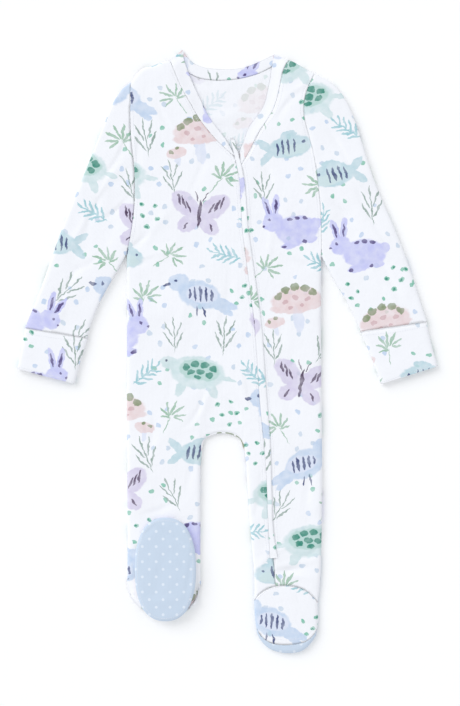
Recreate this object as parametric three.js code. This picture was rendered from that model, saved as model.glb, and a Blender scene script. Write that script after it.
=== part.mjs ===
// A footed sleepsuit of soft jersey for a baby of 3 to 6 months, laid flat on its back.
// Millimetres: +X to the wearer's left, +Y to the neck, +Z up; the body stands round X = 0.
import * as THREE from "three";

// Driving sizes
const JERSEY = 1.1; // wall of one layer of jersey
const DOUBLED = 1.7; // wall of neckband, cuffs and soles, where the cloth is double
const SEAM_GAP = 0.3;
const CURVED_GAP = 0.7; // at curved seams, whose edges are made of short straight stretches
const TOE_GAP = 1.4;
const BAND_GAP = 1;
const LAID_HEIGHT = 6; // floor to the top of the front
const SEAM_LEVEL = LAID_HEIGHT / 2; // height of the side seams
const EDGE_TURN = 4; // how far in from a folded side the cloth still curves
const TURN_STEPS = 2; // steps of the grid across that curve
const ZIP_HALF_GAP = 2.3; // centre of the zip to the edge of a front panel
const CHAIN_WIDTH = 3.8;
const CHAIN_WALL = 1.2;
const CHAIN_DROP = 0.1; // top of the zip chain under the top of the panels
const CHAIN_CLEAR = 2; // ends of the zip chain inside the guard's ends
const GUARD_LIFT = 0.5; // top of the panels to the underside of the zip guard
const BAND_LIFT = 0.2; // top of the neckband over the top of the panels
const CUFF_LIFT = 0.4; // top of a turned cuff over the top of its sleeve
const FOOT_DOME = 0.7; // middle of the foot that points down, over the leg's height
const FOLDED_FOOT_HEIGHT = 6; // of the foot that is folded up on its leg
const CROTCH_Y = -99;
const CROTCH_ARCH = 14; // rise of the rounded crotch over the tops of the inner legs
const ZIP_END_Y = -219;
const ZIP_CLOSE = 5; // length over which the panels meet below the zip
const HEEL_Y = -217.5; // heel seam of the foot that points down
const NECK_LINE_Y = 200; // rows of the grids that meet the lowest point of the neck
const NECK_POINT_RIGHT_X = 9.5; // where the fronts' neck edges end at the zip
const NECK_POINT_LEFT_X = 19;
const ARMHOLE_ROWS = 4; // rows of a sleeve's table over which its start follows the armhole
const WRIST_STATION = 10;
const CUFF_STATION = 2;

// Outline of the garment as it lies, seen from above
const RIGHT_SIDE = table("y x", [
  [-284, -102.5],
  [-162, -102.5],
  [-83, -103],
  [12, -103],
  [88, -103],
  [102.5, -103],
  [113, -100.5],
  [134, -96.5],
  [160, -94],
  [192, -94.5],
  [233, -98.5],
  [258, -99],
  [285.5, -98.5],
]);
const LEFT_SIDE = table("y x", [
  [-266, 99.5],
  [-247, 102],
  [-220, 103],
  [-162, 104],
  [12, 103],
  [100, 103],
  [149, 102],
  [175, 99.5],
  [215, 93.5],
  [240, 86],
  [256, 83],
  [275, 86],
  [295, 95.5],
]);
const RIGHT_INNER_LEG = table("y x", [
  [-284, -25],
  [-162, -25],
  [-99, -24.5],
]);
const LEFT_INNER_LEG = table("y x", [
  [-266, 32],
  [-230, 31.5],
  [-205, 29.5],
  [-162, 25.5],
  [-115, 23],
  [-99, 21],
]);
const SHOULDERS_AND_NAPE = table("x y", [
  [-98.5, 285.5],
  [-90, 297.5],
  [-74, 303.5],
  [-58, 308],
  [-46.5, 300.5],
  [-37, 294],
  [-20, 288.5],
  [-2, 287.5],
  [17, 289.5],
  [34, 293],
  [49, 300.5],
  [69, 309],
  [82.5, 302],
  [95.5, 295],
]);
const NAPE_TOP = table("x y", [
  [-44.5, 320.5],
  [-36, 309],
  [-27.5, 303.5],
  [-18, 301],
  [-2, 299.5],
  [15, 300],
  [27.5, 303.5],
  [40.5, 309],
  [53, 315.5],
]);
const ZIP_LINE = table("y x", [
  [-250, 54.5],
  [-219, 52.5],
  [-189, 49.5],
  [-147, 48],
  [-104, 46],
  [-51, 41.5],
  [7, 37.5],
  [33, 35.5],
  [65, 31],
  [107, 25.5],
  [128, 22.5],
  [160, 20.5],
  [182, 19],
  [203, 14.5],
  [226, 8.5],
]);
const GUARD_WIDTH = table("y width", [
  [-219, 8.5],
  [-200, 6],
  [-147, 5],
  [-80, 7.5],
  [0, 7.5],
  [120, 6.5],
  [190, 5],
  [226, 4.2],
]);

// Neckband, from the zip to the shoulder: inner edge and seam line
const BAND_RIGHT = table("innerX innerY seamX seamY", [
  [3, 223, 11.6, 206],
  [-2, 230.5, -6.5, 222],
  [-10.5, 241, -18, 235],
  [-19, 254, -27.5, 247.5],
  [-25.5, 268.5, -35, 261.5],
  [-33, 283.5, -43.5, 275],
  [-38, 296.5, -50, 289],
  [-42.5, 309, -54, 299.5],
  [-44.5, 320.5, -58, 308],
]);
const BAND_LEFT = table("innerX innerY seamX seamY", [
  [16.5, 213.5, 18.3, 197.5],
  [21.5, 224, 28.5, 213.5],
  [25.5, 237, 35, 228.5],
  [33, 247.5, 42.5, 240],
  [41.5, 259, 52, 254],
  [45.5, 273, 57, 268.5],
  [49, 290, 60.5, 285.5],
  [51, 305, 63.5, 300.5],
  [53, 315.5, 69, 309],
]);

// Sleeves and cuffs, from the armhole to the hand: over-arm and underarm edges
const SLEEVE_RIGHT = table("overX overY underX underY", [
  [-98.5, 285.5, -103, 102.5],
  [-112.5, 275, -108, 93],
  [-123, 250.5, -114.5, 82],
  [-132.5, 226.5, -121, 70.5],
  [-144, 197.5, -127, 60],
  [-157, 166, -133, 48],
  [-168.5, 138.5, -136.5, 38.5],
  [-179, 109.5, -139.5, 31.5],
  [-191, 74.5, -141.5, 25],
  [-201.5, 48, -143, 19.5],
  [-211, 25, -144, 14.5],
]);
const SLEEVE_LEFT = table("overX overY underX underY", [
  [95.5, 295, 103, 100],
  [115.5, 285.5, 107, 92],
  [128.5, 268.5, 112.5, 82],
  [139, 244.5, 117.5, 72],
  [147.5, 215.5, 123, 63],
  [157, 186, 128.5, 54.5],
  [169.5, 155.5, 132.5, 47],
  [182.5, 126.5, 136.5, 37.5],
  [194, 97, 140, 31.5],
  [204.5, 64, 142, 26],
  [215, 31.5, 144, 21.5],
]);
const CUFF_RIGHT = table("overX overY underX underY", [
  [-211, 25, -144, 14.5],
  [-215, 5, -152, -10],
  [-219.5, -18.5, -158, -34.5],
]);
const CUFF_LEFT = table("overX overY underX underY", [
  [215, 31.5, 144, 21.5],
  [220, 9, 155, -4],
  [227, -15.5, 166.5, -34.5],
]);

// Feet
const RIGHT_LEG_END = table("x y", [
  [-102.5, -253],
  [-99.5, -261.5],
  [-92, -271],
  [-80.5, -279.5],
  [-62.5, -284],
  [-44.5, -280.5],
  [-34, -272],
  [-27.5, -261.5],
  [-25, -250.5],
]);
const FOLDED_SOLE = { x: -62, y: -230.5, halfWidth: 32.5, halfLength: 55, power: 2.4 };
const FOOT_MIDDLE = { x: 66, y: -284, halfWidth: 34, halfLength: 36 }; // of the foot that points down
const SOLE_CORNER = 0.8; // share of the half length where a side becomes an end
const ANKLE_ARC = table("x y", [
  [32, -263.5],
  [38, -256],
  [46, -251],
  [64.5, -247.5],
  [79, -249.5],
  [92, -256.5],
  [99.5, -265.5],
]);
const FOOT_RIGHT_EDGE = table("y x", [
  [-299, 35],
  [-284, 33],
  [-263, 32],
  [-230, 31.5],
  [-205, 29.5],
]);
const FOOT_LEFT_EDGE = table("y x", [
  [-302, 97.5],
  [-288, 99.5],
  [-263, 99.8],
  [-247, 102],
  [-205, 103.5],
]);
const TOE_END = table("x y", [
  [35, -299],
  [39, -307.5],
  [50.5, -317],
  [64.5, -320.5],
  [73, -320.5],
  [82.5, -318.5],
  [89, -314.5],
  [97.5, -302],
]);
const TOE_SEAM = table("x y", [
  [34, -292],
  [40.5, -303],
  [50, -308.5],
  [64, -310.5],
  [79, -309],
  [92, -304],
  [98.5, -294],
]);

// Largest folds of the upper cloth: centre, direction in degrees, length, half width and rise
const FOLDS = table("x y angle length halfWidth rise", [
  [71, -229, 6, 66, 5, -1.6],
  [76, -241, -4, 56, 3.5, -0.9],
  [36, -218, 62, 44, 4, -1.3],
  [-86, 122, 38, 62, 7, -1.2],
  [88, 120, -40, 60, 7, -1.2],
  [-14, -72, 66, 64, 7, -1.1],
  [8, -58, -58, 52, 6, -0.9],
  [-70, 60, 80, 90, 9, -0.8],
  [-122, 130, 60, 80, 7, -1.1],
  [-160, 92, 58, 84, 8, -1.2],
  [128, 146, -62, 84, 7, -1.1],
  [166, 96, -60, 86, 8, -1.2],
  [-60, -150, 72, 70, 7, -0.9],
  [78, -120, 84, 90, 7, -0.9],
]);

// A table's rows, as objects whose keys are the named columns.
function table(columns, rows) {
  const names = columns.split(" ");
  return rows.map((row) => Object.fromEntries(names.map((name, k) => [name, row[k]])));
}

// The smooth curve through one column of a table, as a function of another column or of the row's number.
function track(rows, input, output) {
  const at = rows.map((row, k) => (input === "row" ? k : row[input]));
  const value = rows.map((row) => row[output]);
  const last = rows.length - 1;
  const slope = (k) => (value[k + 1] - value[k]) / (at[k + 1] - at[k]);
  const tangent = (k) => {
    if (k === 0) return slope(0);
    if (k === last) return slope(last - 1);
    const before = at[k] - at[k - 1];
    const after = at[k + 1] - at[k];
    return (slope(k - 1) * after + slope(k) * before) / (before + after);
  };
  return (position) => {
    const here = THREE.MathUtils.clamp(position, at[0], at[last]);
    let k = 0;
    while (k < last - 1 && here > at[k + 1]) k += 1;
    const width = at[k + 1] - at[k];
    const t = (here - at[k]) / width;
    const rest = 1 - t;
    const ends = value[k] * (1 + 2 * t) * rest * rest + value[k + 1] * t * t * (3 - 2 * t);
    const bends = tangent(k) * t * rest * rest - tangent(k + 1) * t * t * rest;
    return ends + width * bends;
  };
}

// Places along a length: near a turned end they crowd as the curve needs, elsewhere they are even.
// Each place is a share of the length and an offset in millimetres.
function stations(count, turnedStart, turnedEnd) {
  const curve = [];
  for (let k = 0; k < TURN_STEPS; k += 1) {
    curve.push(EDGE_TURN * (1 - Math.cos((k / TURN_STEPS) * (Math.PI / 2))));
  }
  const from = turnedStart ? EDGE_TURN : 0;
  const to = turnedEnd ? -EDGE_TURN : 0;
  const places = turnedStart ? curve.map((offset) => ({ share: 0, offset })) : [];
  for (let k = 0; k <= count; k += 1) {
    const share = k / count;
    places.push({ share, offset: from + share * (to - from) });
  }
  if (turnedEnd) {
    for (const offset of curve.slice().reverse()) places.push({ share: 1, offset: -offset });
  }
  return places;
}

// Rise of the upper cloth over its level at a place: the sum of its folds.
function relief(x, y) {
  let rise = 0;
  for (const fold of FOLDS) {
    const turn = THREE.MathUtils.degToRad(fold.angle);
    const dx = x - fold.x;
    const dy = y - fold.y;
    const along = (dx * Math.cos(turn) + dy * Math.sin(turn)) / (fold.length / 2);
    const across = (dy * Math.cos(turn) - dx * Math.sin(turn)) / fold.halfWidth;
    const fade = Math.max(0, 1 - along * along);
    rise += fold.rise * fade * fade * Math.exp(-across * across);
  }
  return rise;
}

const topLevel = (x, y) => LAID_HEIGHT + relief(x, y);
const floorLevel = () => 0;
const sideSeam = () => SEAM_LEVEL;

// A closed wall between an outer and an inner grid of points. Cells that keeps() refuses are left
// open, and every free edge gets a rim. A grid that is a ring closes its last column on the first.
function wall(outer, inner, keeps, isRing = false) {
  const rows = outer.length;
  const columns = outer[0].length;
  const positions = [];
  for (const grid of [outer, inner]) {
    for (const row of grid) {
      for (const point of row) positions.push(point.x, point.y, point.z);
    }
  }
  const number = (i, j) => i * columns + (j % columns);
  const innerShift = rows * columns;
  const faces = [];
  const edges = new Map();
  const addEdge = (from, to) => {
    const back = `${to} ${from}`;
    if (edges.has(back)) edges.delete(back);
    else edges.set(`${from} ${to}`, [from, to]);
  };
  for (let i = 0; i < rows - 1; i += 1) {
    for (let j = 0; j < (isRing ? columns : columns - 1); j += 1) {
      if (!keeps(i, j)) continue;
      const corners = [number(i, j), number(i, j + 1), number(i + 1, j + 1), number(i + 1, j)];
      const [a, b, c, d] = corners;
      faces.push(a, b, c, a, c, d);
      faces.push(a + innerShift, c + innerShift, b + innerShift);
      faces.push(a + innerShift, d + innerShift, c + innerShift);
      corners.forEach((corner, k) => addEdge(corner, corners[(k + 1) % corners.length]));
    }
  }
  for (const [from, to] of edges.values()) {
    faces.push(from, from + innerShift, to + innerShift);
    faces.push(from, to + innerShift, to);
  }
  const geometry = new THREE.BufferGeometry();
  geometry.setAttribute("position", new THREE.Float32BufferAttribute(positions, 3));
  geometry.setIndex(faces);
  if (signedVolume(geometry) < 0) {
    for (let k = 0; k < faces.length; k += 3) {
      [faces[k + 1], faces[k + 2]] = [faces[k + 2], faces[k + 1]];
    }
    geometry.setIndex(faces);
  }
  geometry.computeVertexNormals();
  return geometry;
}

function signedVolume(geometry) {
  const position = geometry.getAttribute("position");
  const index = geometry.getIndex();
  const corners = [new THREE.Vector3(), new THREE.Vector3(), new THREE.Vector3()];
  let total = 0;
  for (let k = 0; k < index.count; k += 3) {
    corners.forEach((corner, n) => corner.fromBufferAttribute(position, index.getX(k + n)));
    total += corners[0].dot(corners[1].clone().cross(corners[2])) / 6;
  }
  return total;
}

const keepAll = () => true;

// One row of plan points. yAt(x) is the row's line, borders are curves x(y) and groups the
// stations between each border and the next; a border belongs to the group before it.
function planRow(yAt, borders, groups) {
  const marks = borders.map((border) => {
    let y = yAt(0);
    let x = border(y);
    for (let step = 0; step < 20; step += 1) {
      y = yAt(x);
      x = border(y);
    }
    return x;
  });
  const row = [];
  groups.forEach((group, g) => {
    group.slice(g === 0 ? 0 : 1).forEach(({ share, offset }) => {
      const x = marks[g] + share * (marks[g + 1] - marks[g]) + offset;
      row.push(new THREE.Vector2(x, yAt(x)));
    });
  });
  return row;
}

// Rows of plan points between two lines y(x).
function planBand(low, high, places, borders, groups) {
  return places.map(({ share, offset }) =>
    planRow((x) => low(x) + share * (high(x) - low(x)) + offset, borders, groups),
  );
}

// A panel of cloth over plan points. Along its turned edges, each a chain of grid places, it
// curves to the height at which it meets the other layer. side is 1 for an upper and -1 for a
// lower layer, or a function of the grid row where the cloth runs from one to the other.
function panel({ plan, keeps = keepAll, turned, side, cloth, level, meets = sideSeam }) {
  const sideAt = typeof side === "function" ? side : () => side;
  const onEdge = new Map();
  const segments = [];
  for (const chain of turned) {
    chain.forEach(([i, j], k) => {
      const before = chain[Math.max(k - 1, 0)];
      const after = chain[Math.min(k + 1, chain.length - 1)];
      const tangent = plan[after[0]][after[1]].clone().sub(plan[before[0]][before[1]]);
      onEdge.set(`${i} ${j}`, new THREE.Vector2(-tangent.y, tangent.x).normalize());
      if (k > 0) segments.push([plan[before[0]][before[1]], plan[i][j]]);
    });
  }
  const centreNear = (i, j) => {
    const centre = new THREE.Vector2();
    let count = 0;
    for (const [di, dj] of [[0, 0], [-1, 0], [0, -1], [-1, -1]]) {
      const [row, column] = [i + di, j + dj];
      const inside = plan[row + 1] && plan[row] && plan[row][column + 1] && plan[row][column];
      if (!inside || !keeps(row, column)) continue;
      centre.add(plan[row][column]).add(plan[row + 1][column + 1]);
      count += 2;
    }
    return centre.divideScalar(count || 1);
  };
  const outer = [];
  const inner = [];
  plan.forEach((row, i) => {
    outer.push([]);
    inner.push([]);
    row.forEach((point, j) => {
      let near = null;
      let distance = Infinity;
      for (const [start, end] of segments) {
        const line = end.clone().sub(start);
        const share = point.clone().sub(start).dot(line) / line.lengthSq();
        const foot = start.clone().addScaledVector(line, THREE.MathUtils.clamp(share, 0, 1));
        const reach = foot.distanceTo(point);
        if (reach < distance) [near, distance] = [foot, reach];
      }
      const edgeNormal = onEdge.get(`${i} ${j}`);
      const inward = new THREE.Vector2();
      if (edgeNormal) {
        distance = 0;
        near = point;
        inward.copy(edgeNormal);
        if (inward.dot(centreNear(i, j).sub(point)) < 0) inward.negate();
      } else if (near) {
        inward.copy(point).sub(near).normalize();
      }
      const lean = 1 - Math.min(distance / EDGE_TURN, 1);
      const climb = Math.sqrt(1 - lean * lean);
      const up = sideAt(i);
      const seam = near ? meets(near.x, near.y) + (up * SEAM_GAP) / 2 : 0;
      const z = seam + (level(point.x, point.y, up) - seam) * climb;
      outer[i].push(new THREE.Vector3(point.x, point.y, z));
      const moved = new THREE.Vector3(inward.x * lean, inward.y * lean, -up * climb);
      inner[i].push(outer[i][j].clone().addScaledVector(moved, cloth));
    });
  });
  return wall(outer, inner, keeps);
}

// Grid places in a straight line, from one place to another.
function chain(...places) {
  const path = [places[0]];
  for (const [i, j] of places.slice(1)) {
    let [row, column] = path[path.length - 1];
    while (row !== i || column !== j) {
      row += Math.sign(i - row);
      column += Math.sign(j - column);
      path.push([row, column]);
    }
  }
  return path;
}

// A flattened tube: an upper and a lower layer that turn into each other at both long edges.
function flatTube({ edges, from, to, across: cells, count, cloth, lift, start }) {
  const curves = {};
  for (const key of ["overX", "overY", "underX", "underY"]) curves[key] = track(edges, "row", key);
  const places = stations(cells, true, true);
  const last = places.length - 1;
  const outer = [];
  const inner = [];
  for (let i = 0; i <= count; i += 1) {
    const station = from + (i / count) * (to - from);
    const over = new THREE.Vector2(curves.overX(station), curves.overY(station));
    const under = new THREE.Vector2(curves.underX(station), curves.underY(station));
    const across = under.clone().sub(over);
    const width = across.length();
    across.divideScalar(width);
    outer.push([]);
    inner.push([]);
    for (let j = 0; j < 2 * last; j += 1) {
      const up = j <= last ? 1 : -1;
      const { share, offset } = places[j <= last ? j : 2 * last - j];
      const along = share * width + offset;
      const point = over.clone().addScaledVector(across, along);
      if (start) point.add(start(station, along / width));
      const edge = Math.min(along, width - along);
      const lean = 1 - Math.min(edge / EDGE_TURN, 1);
      const climb = Math.sqrt(1 - lean * lean);
      const surface = up > 0 ? topLevel(point.x, point.y) + lift : 0;
      const z = SEAM_LEVEL + (surface - SEAM_LEVEL) * climb;
      const inwards = along < width / 2 ? lean : -lean;
      const moved = new THREE.Vector3(across.x * inwards, across.y * inwards, -up * climb);
      outer[i].push(new THREE.Vector3(point.x, point.y, z));
      inner[i].push(outer[i][j].clone().addScaledVector(moved, cloth));
    }
  }
  return wall(outer, inner, keepAll, true);
}

// Outline curves
const rightSide = track(RIGHT_SIDE, "y", "x");
const leftSide = track(LEFT_SIDE, "y", "x");
const rightInnerLeg = track(RIGHT_INNER_LEG, "y", "x");
const leftInnerLeg = track(LEFT_INNER_LEG, "y", "x");
const shoulders = track(SHOULDERS_AND_NAPE, "x", "y");
const zipLine = track(ZIP_LINE, "y", "x");
const guardWidth = track(GUARD_WIDTH, "y", "width");
const rightLegEnd = track(RIGHT_LEG_END, "x", "y");
const ankleArc = track(ANKLE_ARC, "x", "y");
const rightNeckline = track(BAND_RIGHT, "seamY", "seamX");
const leftNeckline = track(BAND_LEFT, "seamY", "seamX");
const neckRightY = BAND_RIGHT[0].seamY;
const neckLeftY = BAND_LEFT[0].seamY;
const underarm = (x) => (x < 0 ? SLEEVE_RIGHT[0].underY : SLEEVE_LEFT[0].underY);

// Half the space between the front panels: the zip's, then a plain seam's below it.
function frontHalfGap(y) {
  const closed = THREE.MathUtils.smoothstep(ZIP_END_Y - y, 0, ZIP_CLOSE);
  return THREE.MathUtils.lerp(ZIP_HALF_GAP, SEAM_GAP / 2, closed);
}

const zipEdgeOfRightPanel = (y) => zipLine(y) - frontHalfGap(y);
const zipEdgeOfLeftPanel = (y) => zipLine(y) + frontHalfGap(y);

// Inner edges of the front panels: along the zip, and along the neckband above it.
const rightPanelEdge = (y) => (y > neckRightY ? rightNeckline(y) : zipEdgeOfRightPanel(y));
const leftPanelEdge = (y) => (y > neckLeftY ? leftNeckline(y) : zipEdgeOfLeftPanel(y));

// Line of the crotch: the tops of the inner legs and the rounded arch between them.
function crotchLine(x) {
  const low = rightInnerLeg(CROTCH_Y);
  const high = leftInnerLeg(CROTCH_Y);
  const share = (x - (low + high) / 2) / ((high - low) / 2);
  return CROTCH_Y + CROTCH_ARCH * Math.sqrt(Math.max(0, 1 - share * share));
}

// Stations across the crotch, crowded at its rounded corners.
const ARCH_CELLS = 6;
const archStations = Array.from({ length: ARCH_CELLS + 1 }, (_, k) => ({
  share: (1 - Math.cos((k / ARCH_CELLS) * Math.PI)) / 2,
  offset: 0,
}));

// A border of the body that stands over an inner leg's top, at the same share of the row's width.
function carriedUp(innerLeg, left, right) {
  const share = (innerLeg(CROTCH_Y) - left(CROTCH_Y)) / (right(CROTCH_Y) - left(CROTCH_Y));
  return (y) => THREE.MathUtils.lerp(left(y), right(y), share);
}

// The plan of a panel that covers both legs and the body up to a top line.
function bodyPlan({ left, right, legEnd, ankleY, neckLine, top, across, down, turned }) {
  const legs = [
    stations(across.leg, true, true),
    archStations,
    stations(across.inner, true, turned.right),
  ];
  const legBorders = [left, rightInnerLeg, leftInnerLeg, right];
  const bodyBorders = [
    left,
    carriedUp(rightInnerLeg, left, right),
    carriedUp(leftInnerLeg, left, right),
    right,
  ];
  const ankleLine = () => ankleY;
  const ankleRows = stations(down.ankle, turned.hem, false);
  const ankle = planBand(legEnd, ankleLine, ankleRows, legBorders, legs);
  const leg = planBand(ankleLine, crotchLine, stations(down.leg, false, false), legBorders, legs);
  const legRows = ankle.concat(leg.slice(1));
  const bands = [
    planBand(crotchLine, underarm, stations(down.body, true, true), bodyBorders, legs),
    planBand(underarm, neckLine, stations(down.chest, true, false), bodyBorders, legs),
    planBand(neckLine, top, stations(down.shoulder, false, true), bodyBorders, legs),
  ];
  const plan = legRows.concat(...bands.map((band) => band.slice(1)));
  const crotchRow = legRows.length - 1;
  const underarmRow = crotchRow + bands[0].length - 1;
  const gapStart = legs[0].length - 1;
  const gapEnd = gapStart + ARCH_CELLS;
  const keeps = (i, j) => i >= crotchRow || j < gapStart || j >= gapEnd;
  const lastRow = plan.length - 1;
  const lastColumn = plan[0].length - 1;
  return { plan, keeps, crotchRow, underarmRow, gapStart, gapEnd, lastRow, lastColumn };
}

// Heights at which the lower cloth meets the upper: at the heel of the folded foot it climbs.
const FOOT_FLOOR = LAID_HEIGHT + SEAM_GAP;
const FOLDED_SEAM = FOOT_FLOOR + FOLDED_FOOT_HEIGHT / 2;
const HEEL_CLIMB_Y = -254;
const HEEL_CLIMB = 18;
function lowerSeam(x, y) {
  const climbed = x < 0 ? THREE.MathUtils.smoothstep(HEEL_CLIMB_Y - y, 0, HEEL_CLIMB) : 0;
  return THREE.MathUtils.lerp(SEAM_LEVEL, FOLDED_SEAM, climbed);
}

const BACK_ANKLE_Y = -200; // above both heels
function backPlan() {
  return bodyPlan({
    left: rightSide,
    right: leftSide,
    legEnd: (x) => (x < 0 ? rightLegEnd(x) : HEEL_Y + CURVED_GAP),
    ankleY: BACK_ANKLE_Y,
    neckLine: () => NECK_LINE_Y,
    top: shoulders,
    across: { leg: 4, inner: 4 },
    down: { ankle: 2, leg: 4, body: 6, chest: 6, shoulder: 7 },
    turned: { hem: true, right: true },
  });
}

function backPanel() {
  const body = backPlan();
  const { underarmRow, crotchRow, gapStart, gapEnd, lastRow, lastColumn } = body;
  const turned = [
    chain(
      [underarmRow, 0],
      [0, 0],
      [0, gapStart],
      [crotchRow, gapStart],
      [crotchRow, gapEnd],
      [0, gapEnd],
    ),
    chain([0, lastColumn], [underarmRow, lastColumn]),
    ...napeAndShoulders(body.plan[lastRow], lastRow),
  ];
  return panel({ ...body, turned, side: -1, cloth: JERSEY, level: floorLevel, meets: lowerSeam });
}

// The two shoulder stretches of a top row. The nape between them is a cut edge.
function napeAndShoulders(row, lastRow) {
  const rightNeck = row.filter((point) => point.x <= BAND_RIGHT.at(-1).seamX).length - 1;
  const leftNeck = row.findIndex((point) => point.x >= BAND_LEFT.at(-1).seamX);
  return [
    chain([lastRow, 0], [lastRow, rightNeck]),
    chain([lastRow, leftNeck], [lastRow, row.length - 1]),
  ];
}

// Front on the wearer's right: body as far as the zip, the right leg, and the left leg's inner strip.
const LEG_CLEAR = 7; // front's edge at the folded foot over the end of the leg
function frontRightPanel() {
  const body = bodyPlan({
    left: rightSide,
    right: rightPanelEdge,
    legEnd: (x) => (x < 0 ? rightLegEnd(x) + LEG_CLEAR : ankleArc(x)),
    ankleY: ZIP_END_Y,
    neckLine: (x) =>
      THREE.MathUtils.mapLinear(x, rightSide(NECK_LINE_Y), NECK_POINT_RIGHT_X, NECK_LINE_Y, neckRightY),
    top: shoulders,
    across: { leg: 5, inner: 3 },
    down: { ankle: 3, leg: 8, body: 10, chest: 6, shoulder: 8 },
    turned: { hem: false, right: false },
  });
  const { underarmRow, crotchRow, gapStart, gapEnd, lastRow, lastColumn } = body;
  const turned = [
    chain([0, 0], [underarmRow, 0]),
    chain([0, gapStart], [crotchRow, gapStart], [crotchRow, gapEnd], [0, gapEnd]),
    chain([lastRow, 0], [lastRow, lastColumn]),
  ];
  return panel({ ...body, turned, side: 1, cloth: JERSEY, level: topLevel });
}

// Front on the wearer's left, from the shoulder to the ankle.
function frontLeftPanel() {
  const columns = [stations(5, false, true)];
  const borders = [leftPanelEdge, leftSide];
  const neckLine = (x) =>
    THREE.MathUtils.mapLinear(x, NECK_POINT_LEFT_X, leftSide(NECK_LINE_Y), neckLeftY, NECK_LINE_Y);
  const ankleLine = () => ZIP_END_Y;
  const bands = [
    planBand(ankleArc, ankleLine, stations(3, false, false), borders, columns),
    planBand(ankleLine, underarm, stations(18, false, true), borders, columns),
    planBand(underarm, neckLine, stations(6, true, false), borders, columns),
    planBand(neckLine, shoulders, stations(8, false, true), borders, columns),
  ];
  const plan = bands[0].concat(...bands.slice(1).map((band) => band.slice(1)));
  const underarmRow = bands[0].length + bands[1].length - 2;
  const lastRow = plan.length - 1;
  const lastColumn = plan[0].length - 1;
  const turned = [
    chain([0, lastColumn], [underarmRow, lastColumn]),
    chain([lastRow, 0], [lastRow, lastColumn]),
  ];
  return panel({ plan, turned, side: 1, cloth: JERSEY, level: topLevel });
}

// A sleeve starts on the curved armhole and is straight across further down.
function sleeve(edges, armhole, outwards) {
  const [first] = edges;
  const start = (station, share) => {
    const y = THREE.MathUtils.lerp(first.overY, first.underY, share);
    const straight = THREE.MathUtils.lerp(first.overX, first.underX, share);
    const fade = Math.max(0, 1 - station / ARMHOLE_ROWS) ** 2;
    return new THREE.Vector2((armhole(y) - straight) * fade + outwards * CURVED_GAP, 0);
  };
  const run = { from: 0, to: WRIST_STATION, across: 10, count: 12 };
  return flatTube({ edges, ...run, cloth: JERSEY, lift: 0, start });
}

// A cuff starts a seam's gap past the wrist.
function cuff(edges) {
  const wrist = new THREE.Vector2(edges[0].overX, edges[0].overY);
  const next = new THREE.Vector2(edges[1].overX, edges[1].overY);
  const from = (2 * SEAM_GAP) / wrist.distanceTo(next);
  const run = { from, to: CUFF_STATION, across: 6, count: 4 };
  return flatTube({ edges, ...run, cloth: DOUBLED, lift: CUFF_LIFT });
}

// Points across the neckband, from its free edge to its seam.
function acrossBand(edge, sewn, count) {
  return Array.from({ length: count + 1 }, (_, k) => edge.clone().lerp(sewn, k / count));
}

// A front part of the neckband, from the zip up to the shoulder.
function frontBand(edges, neckline, inwards) {
  const inner = [track(edges, "row", "innerX"), track(edges, "row", "innerY")];
  const seamY = track(edges, "row", "seamY");
  const plan = stations(12, false, false).map(({ share }) => {
    const row = share * (edges.length - 1);
    const edge = new THREE.Vector2(inner[0](row), inner[1](row));
    const sewn = new THREE.Vector2(neckline(seamY(row)) + inwards * BAND_GAP, seamY(row));
    return acrossBand(edge, sewn, 4);
  });
  const last = plan.length - 1;
  const turned = [chain([last, 0], [last, plan[0].length - 1])];
  const level = (x, y) => topLevel(x, y) + BAND_LIFT;
  return panel({ plan, turned, side: 1, cloth: DOUBLED, level });
}

// The straight stretches between points that follow each other in x, as y(x).
function straightBetween(points) {
  return (x) => {
    const after = Math.max(1, points.findIndex((point) => point.x >= x));
    const [start, end] = [points[after - 1], points[after]];
    return THREE.MathUtils.mapLinear(x, start.x, end.x, start.y, end.y);
  };
}

// The neckband round the nape, from shoulder to shoulder.
function napeBand() {
  const top = [track(NAPE_TOP, "row", "x"), track(NAPE_TOP, "row", "y")];
  const nape = SHOULDERS_AND_NAPE.slice(3, -2);
  const seamX = track(nape, "row", "x");
  const backEdge = straightBetween(backPlan().plan.at(-1));
  const length = NAPE_TOP.at(-1).x - NAPE_TOP[0].x;
  const plan = stations(14, true, true).map(({ share, offset }) => {
    const part = share + offset / length;
    const row = part * (NAPE_TOP.length - 1);
    const clear = CURVED_GAP + DOUBLED * Math.abs(2 * part - 1) ** 4;
    const edge = new THREE.Vector2(top[0](row), top[1](row));
    const sewn = new THREE.Vector2(seamX(row), backEdge(seamX(row)) + clear);
    return acrossBand(edge, sewn, 3);
  });
  const last = plan.length - 1;
  const across = plan[0].length - 1;
  const turned = [chain([0, 0], [0, across]), chain([last, 0], [last, across])];
  return panel({ plan, turned, side: -1, cloth: DOUBLED, level: floorLevel });
}

// A strip along the zip line; lift is its top over the top of the panels.
function zipStrip({ from, to, count, width, cloth, lift }) {
  const outer = [];
  const inner = [];
  for (let i = 0; i <= count; i += 1) {
    const y = THREE.MathUtils.lerp(from, to, i / count);
    const half = width(y) / 2;
    const tangent = new THREE.Vector2(zipLine(y + 1) - zipLine(y - 1), 2).normalize();
    outer.push([]);
    inner.push([]);
    for (const side of [-1, 0, 1]) {
      const x = zipLine(y) + side * half * tangent.y;
      const place = new THREE.Vector3(x, y - side * half * tangent.x, topLevel(x, y) + lift);
      outer[i].push(place);
      inner[i].push(place.clone().setZ(place.z - cloth));
    }
  }
  return wall(outer, inner, keepAll);
}

function zipChain() {
  const width = () => CHAIN_WIDTH;
  const run = { from: ZIP_END_Y + CHAIN_CLEAR, to: neckLeftY - CHAIN_CLEAR, count: 34 };
  return zipStrip({ ...run, width, cloth: CHAIN_WALL, lift: -CHAIN_DROP });
}

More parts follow.
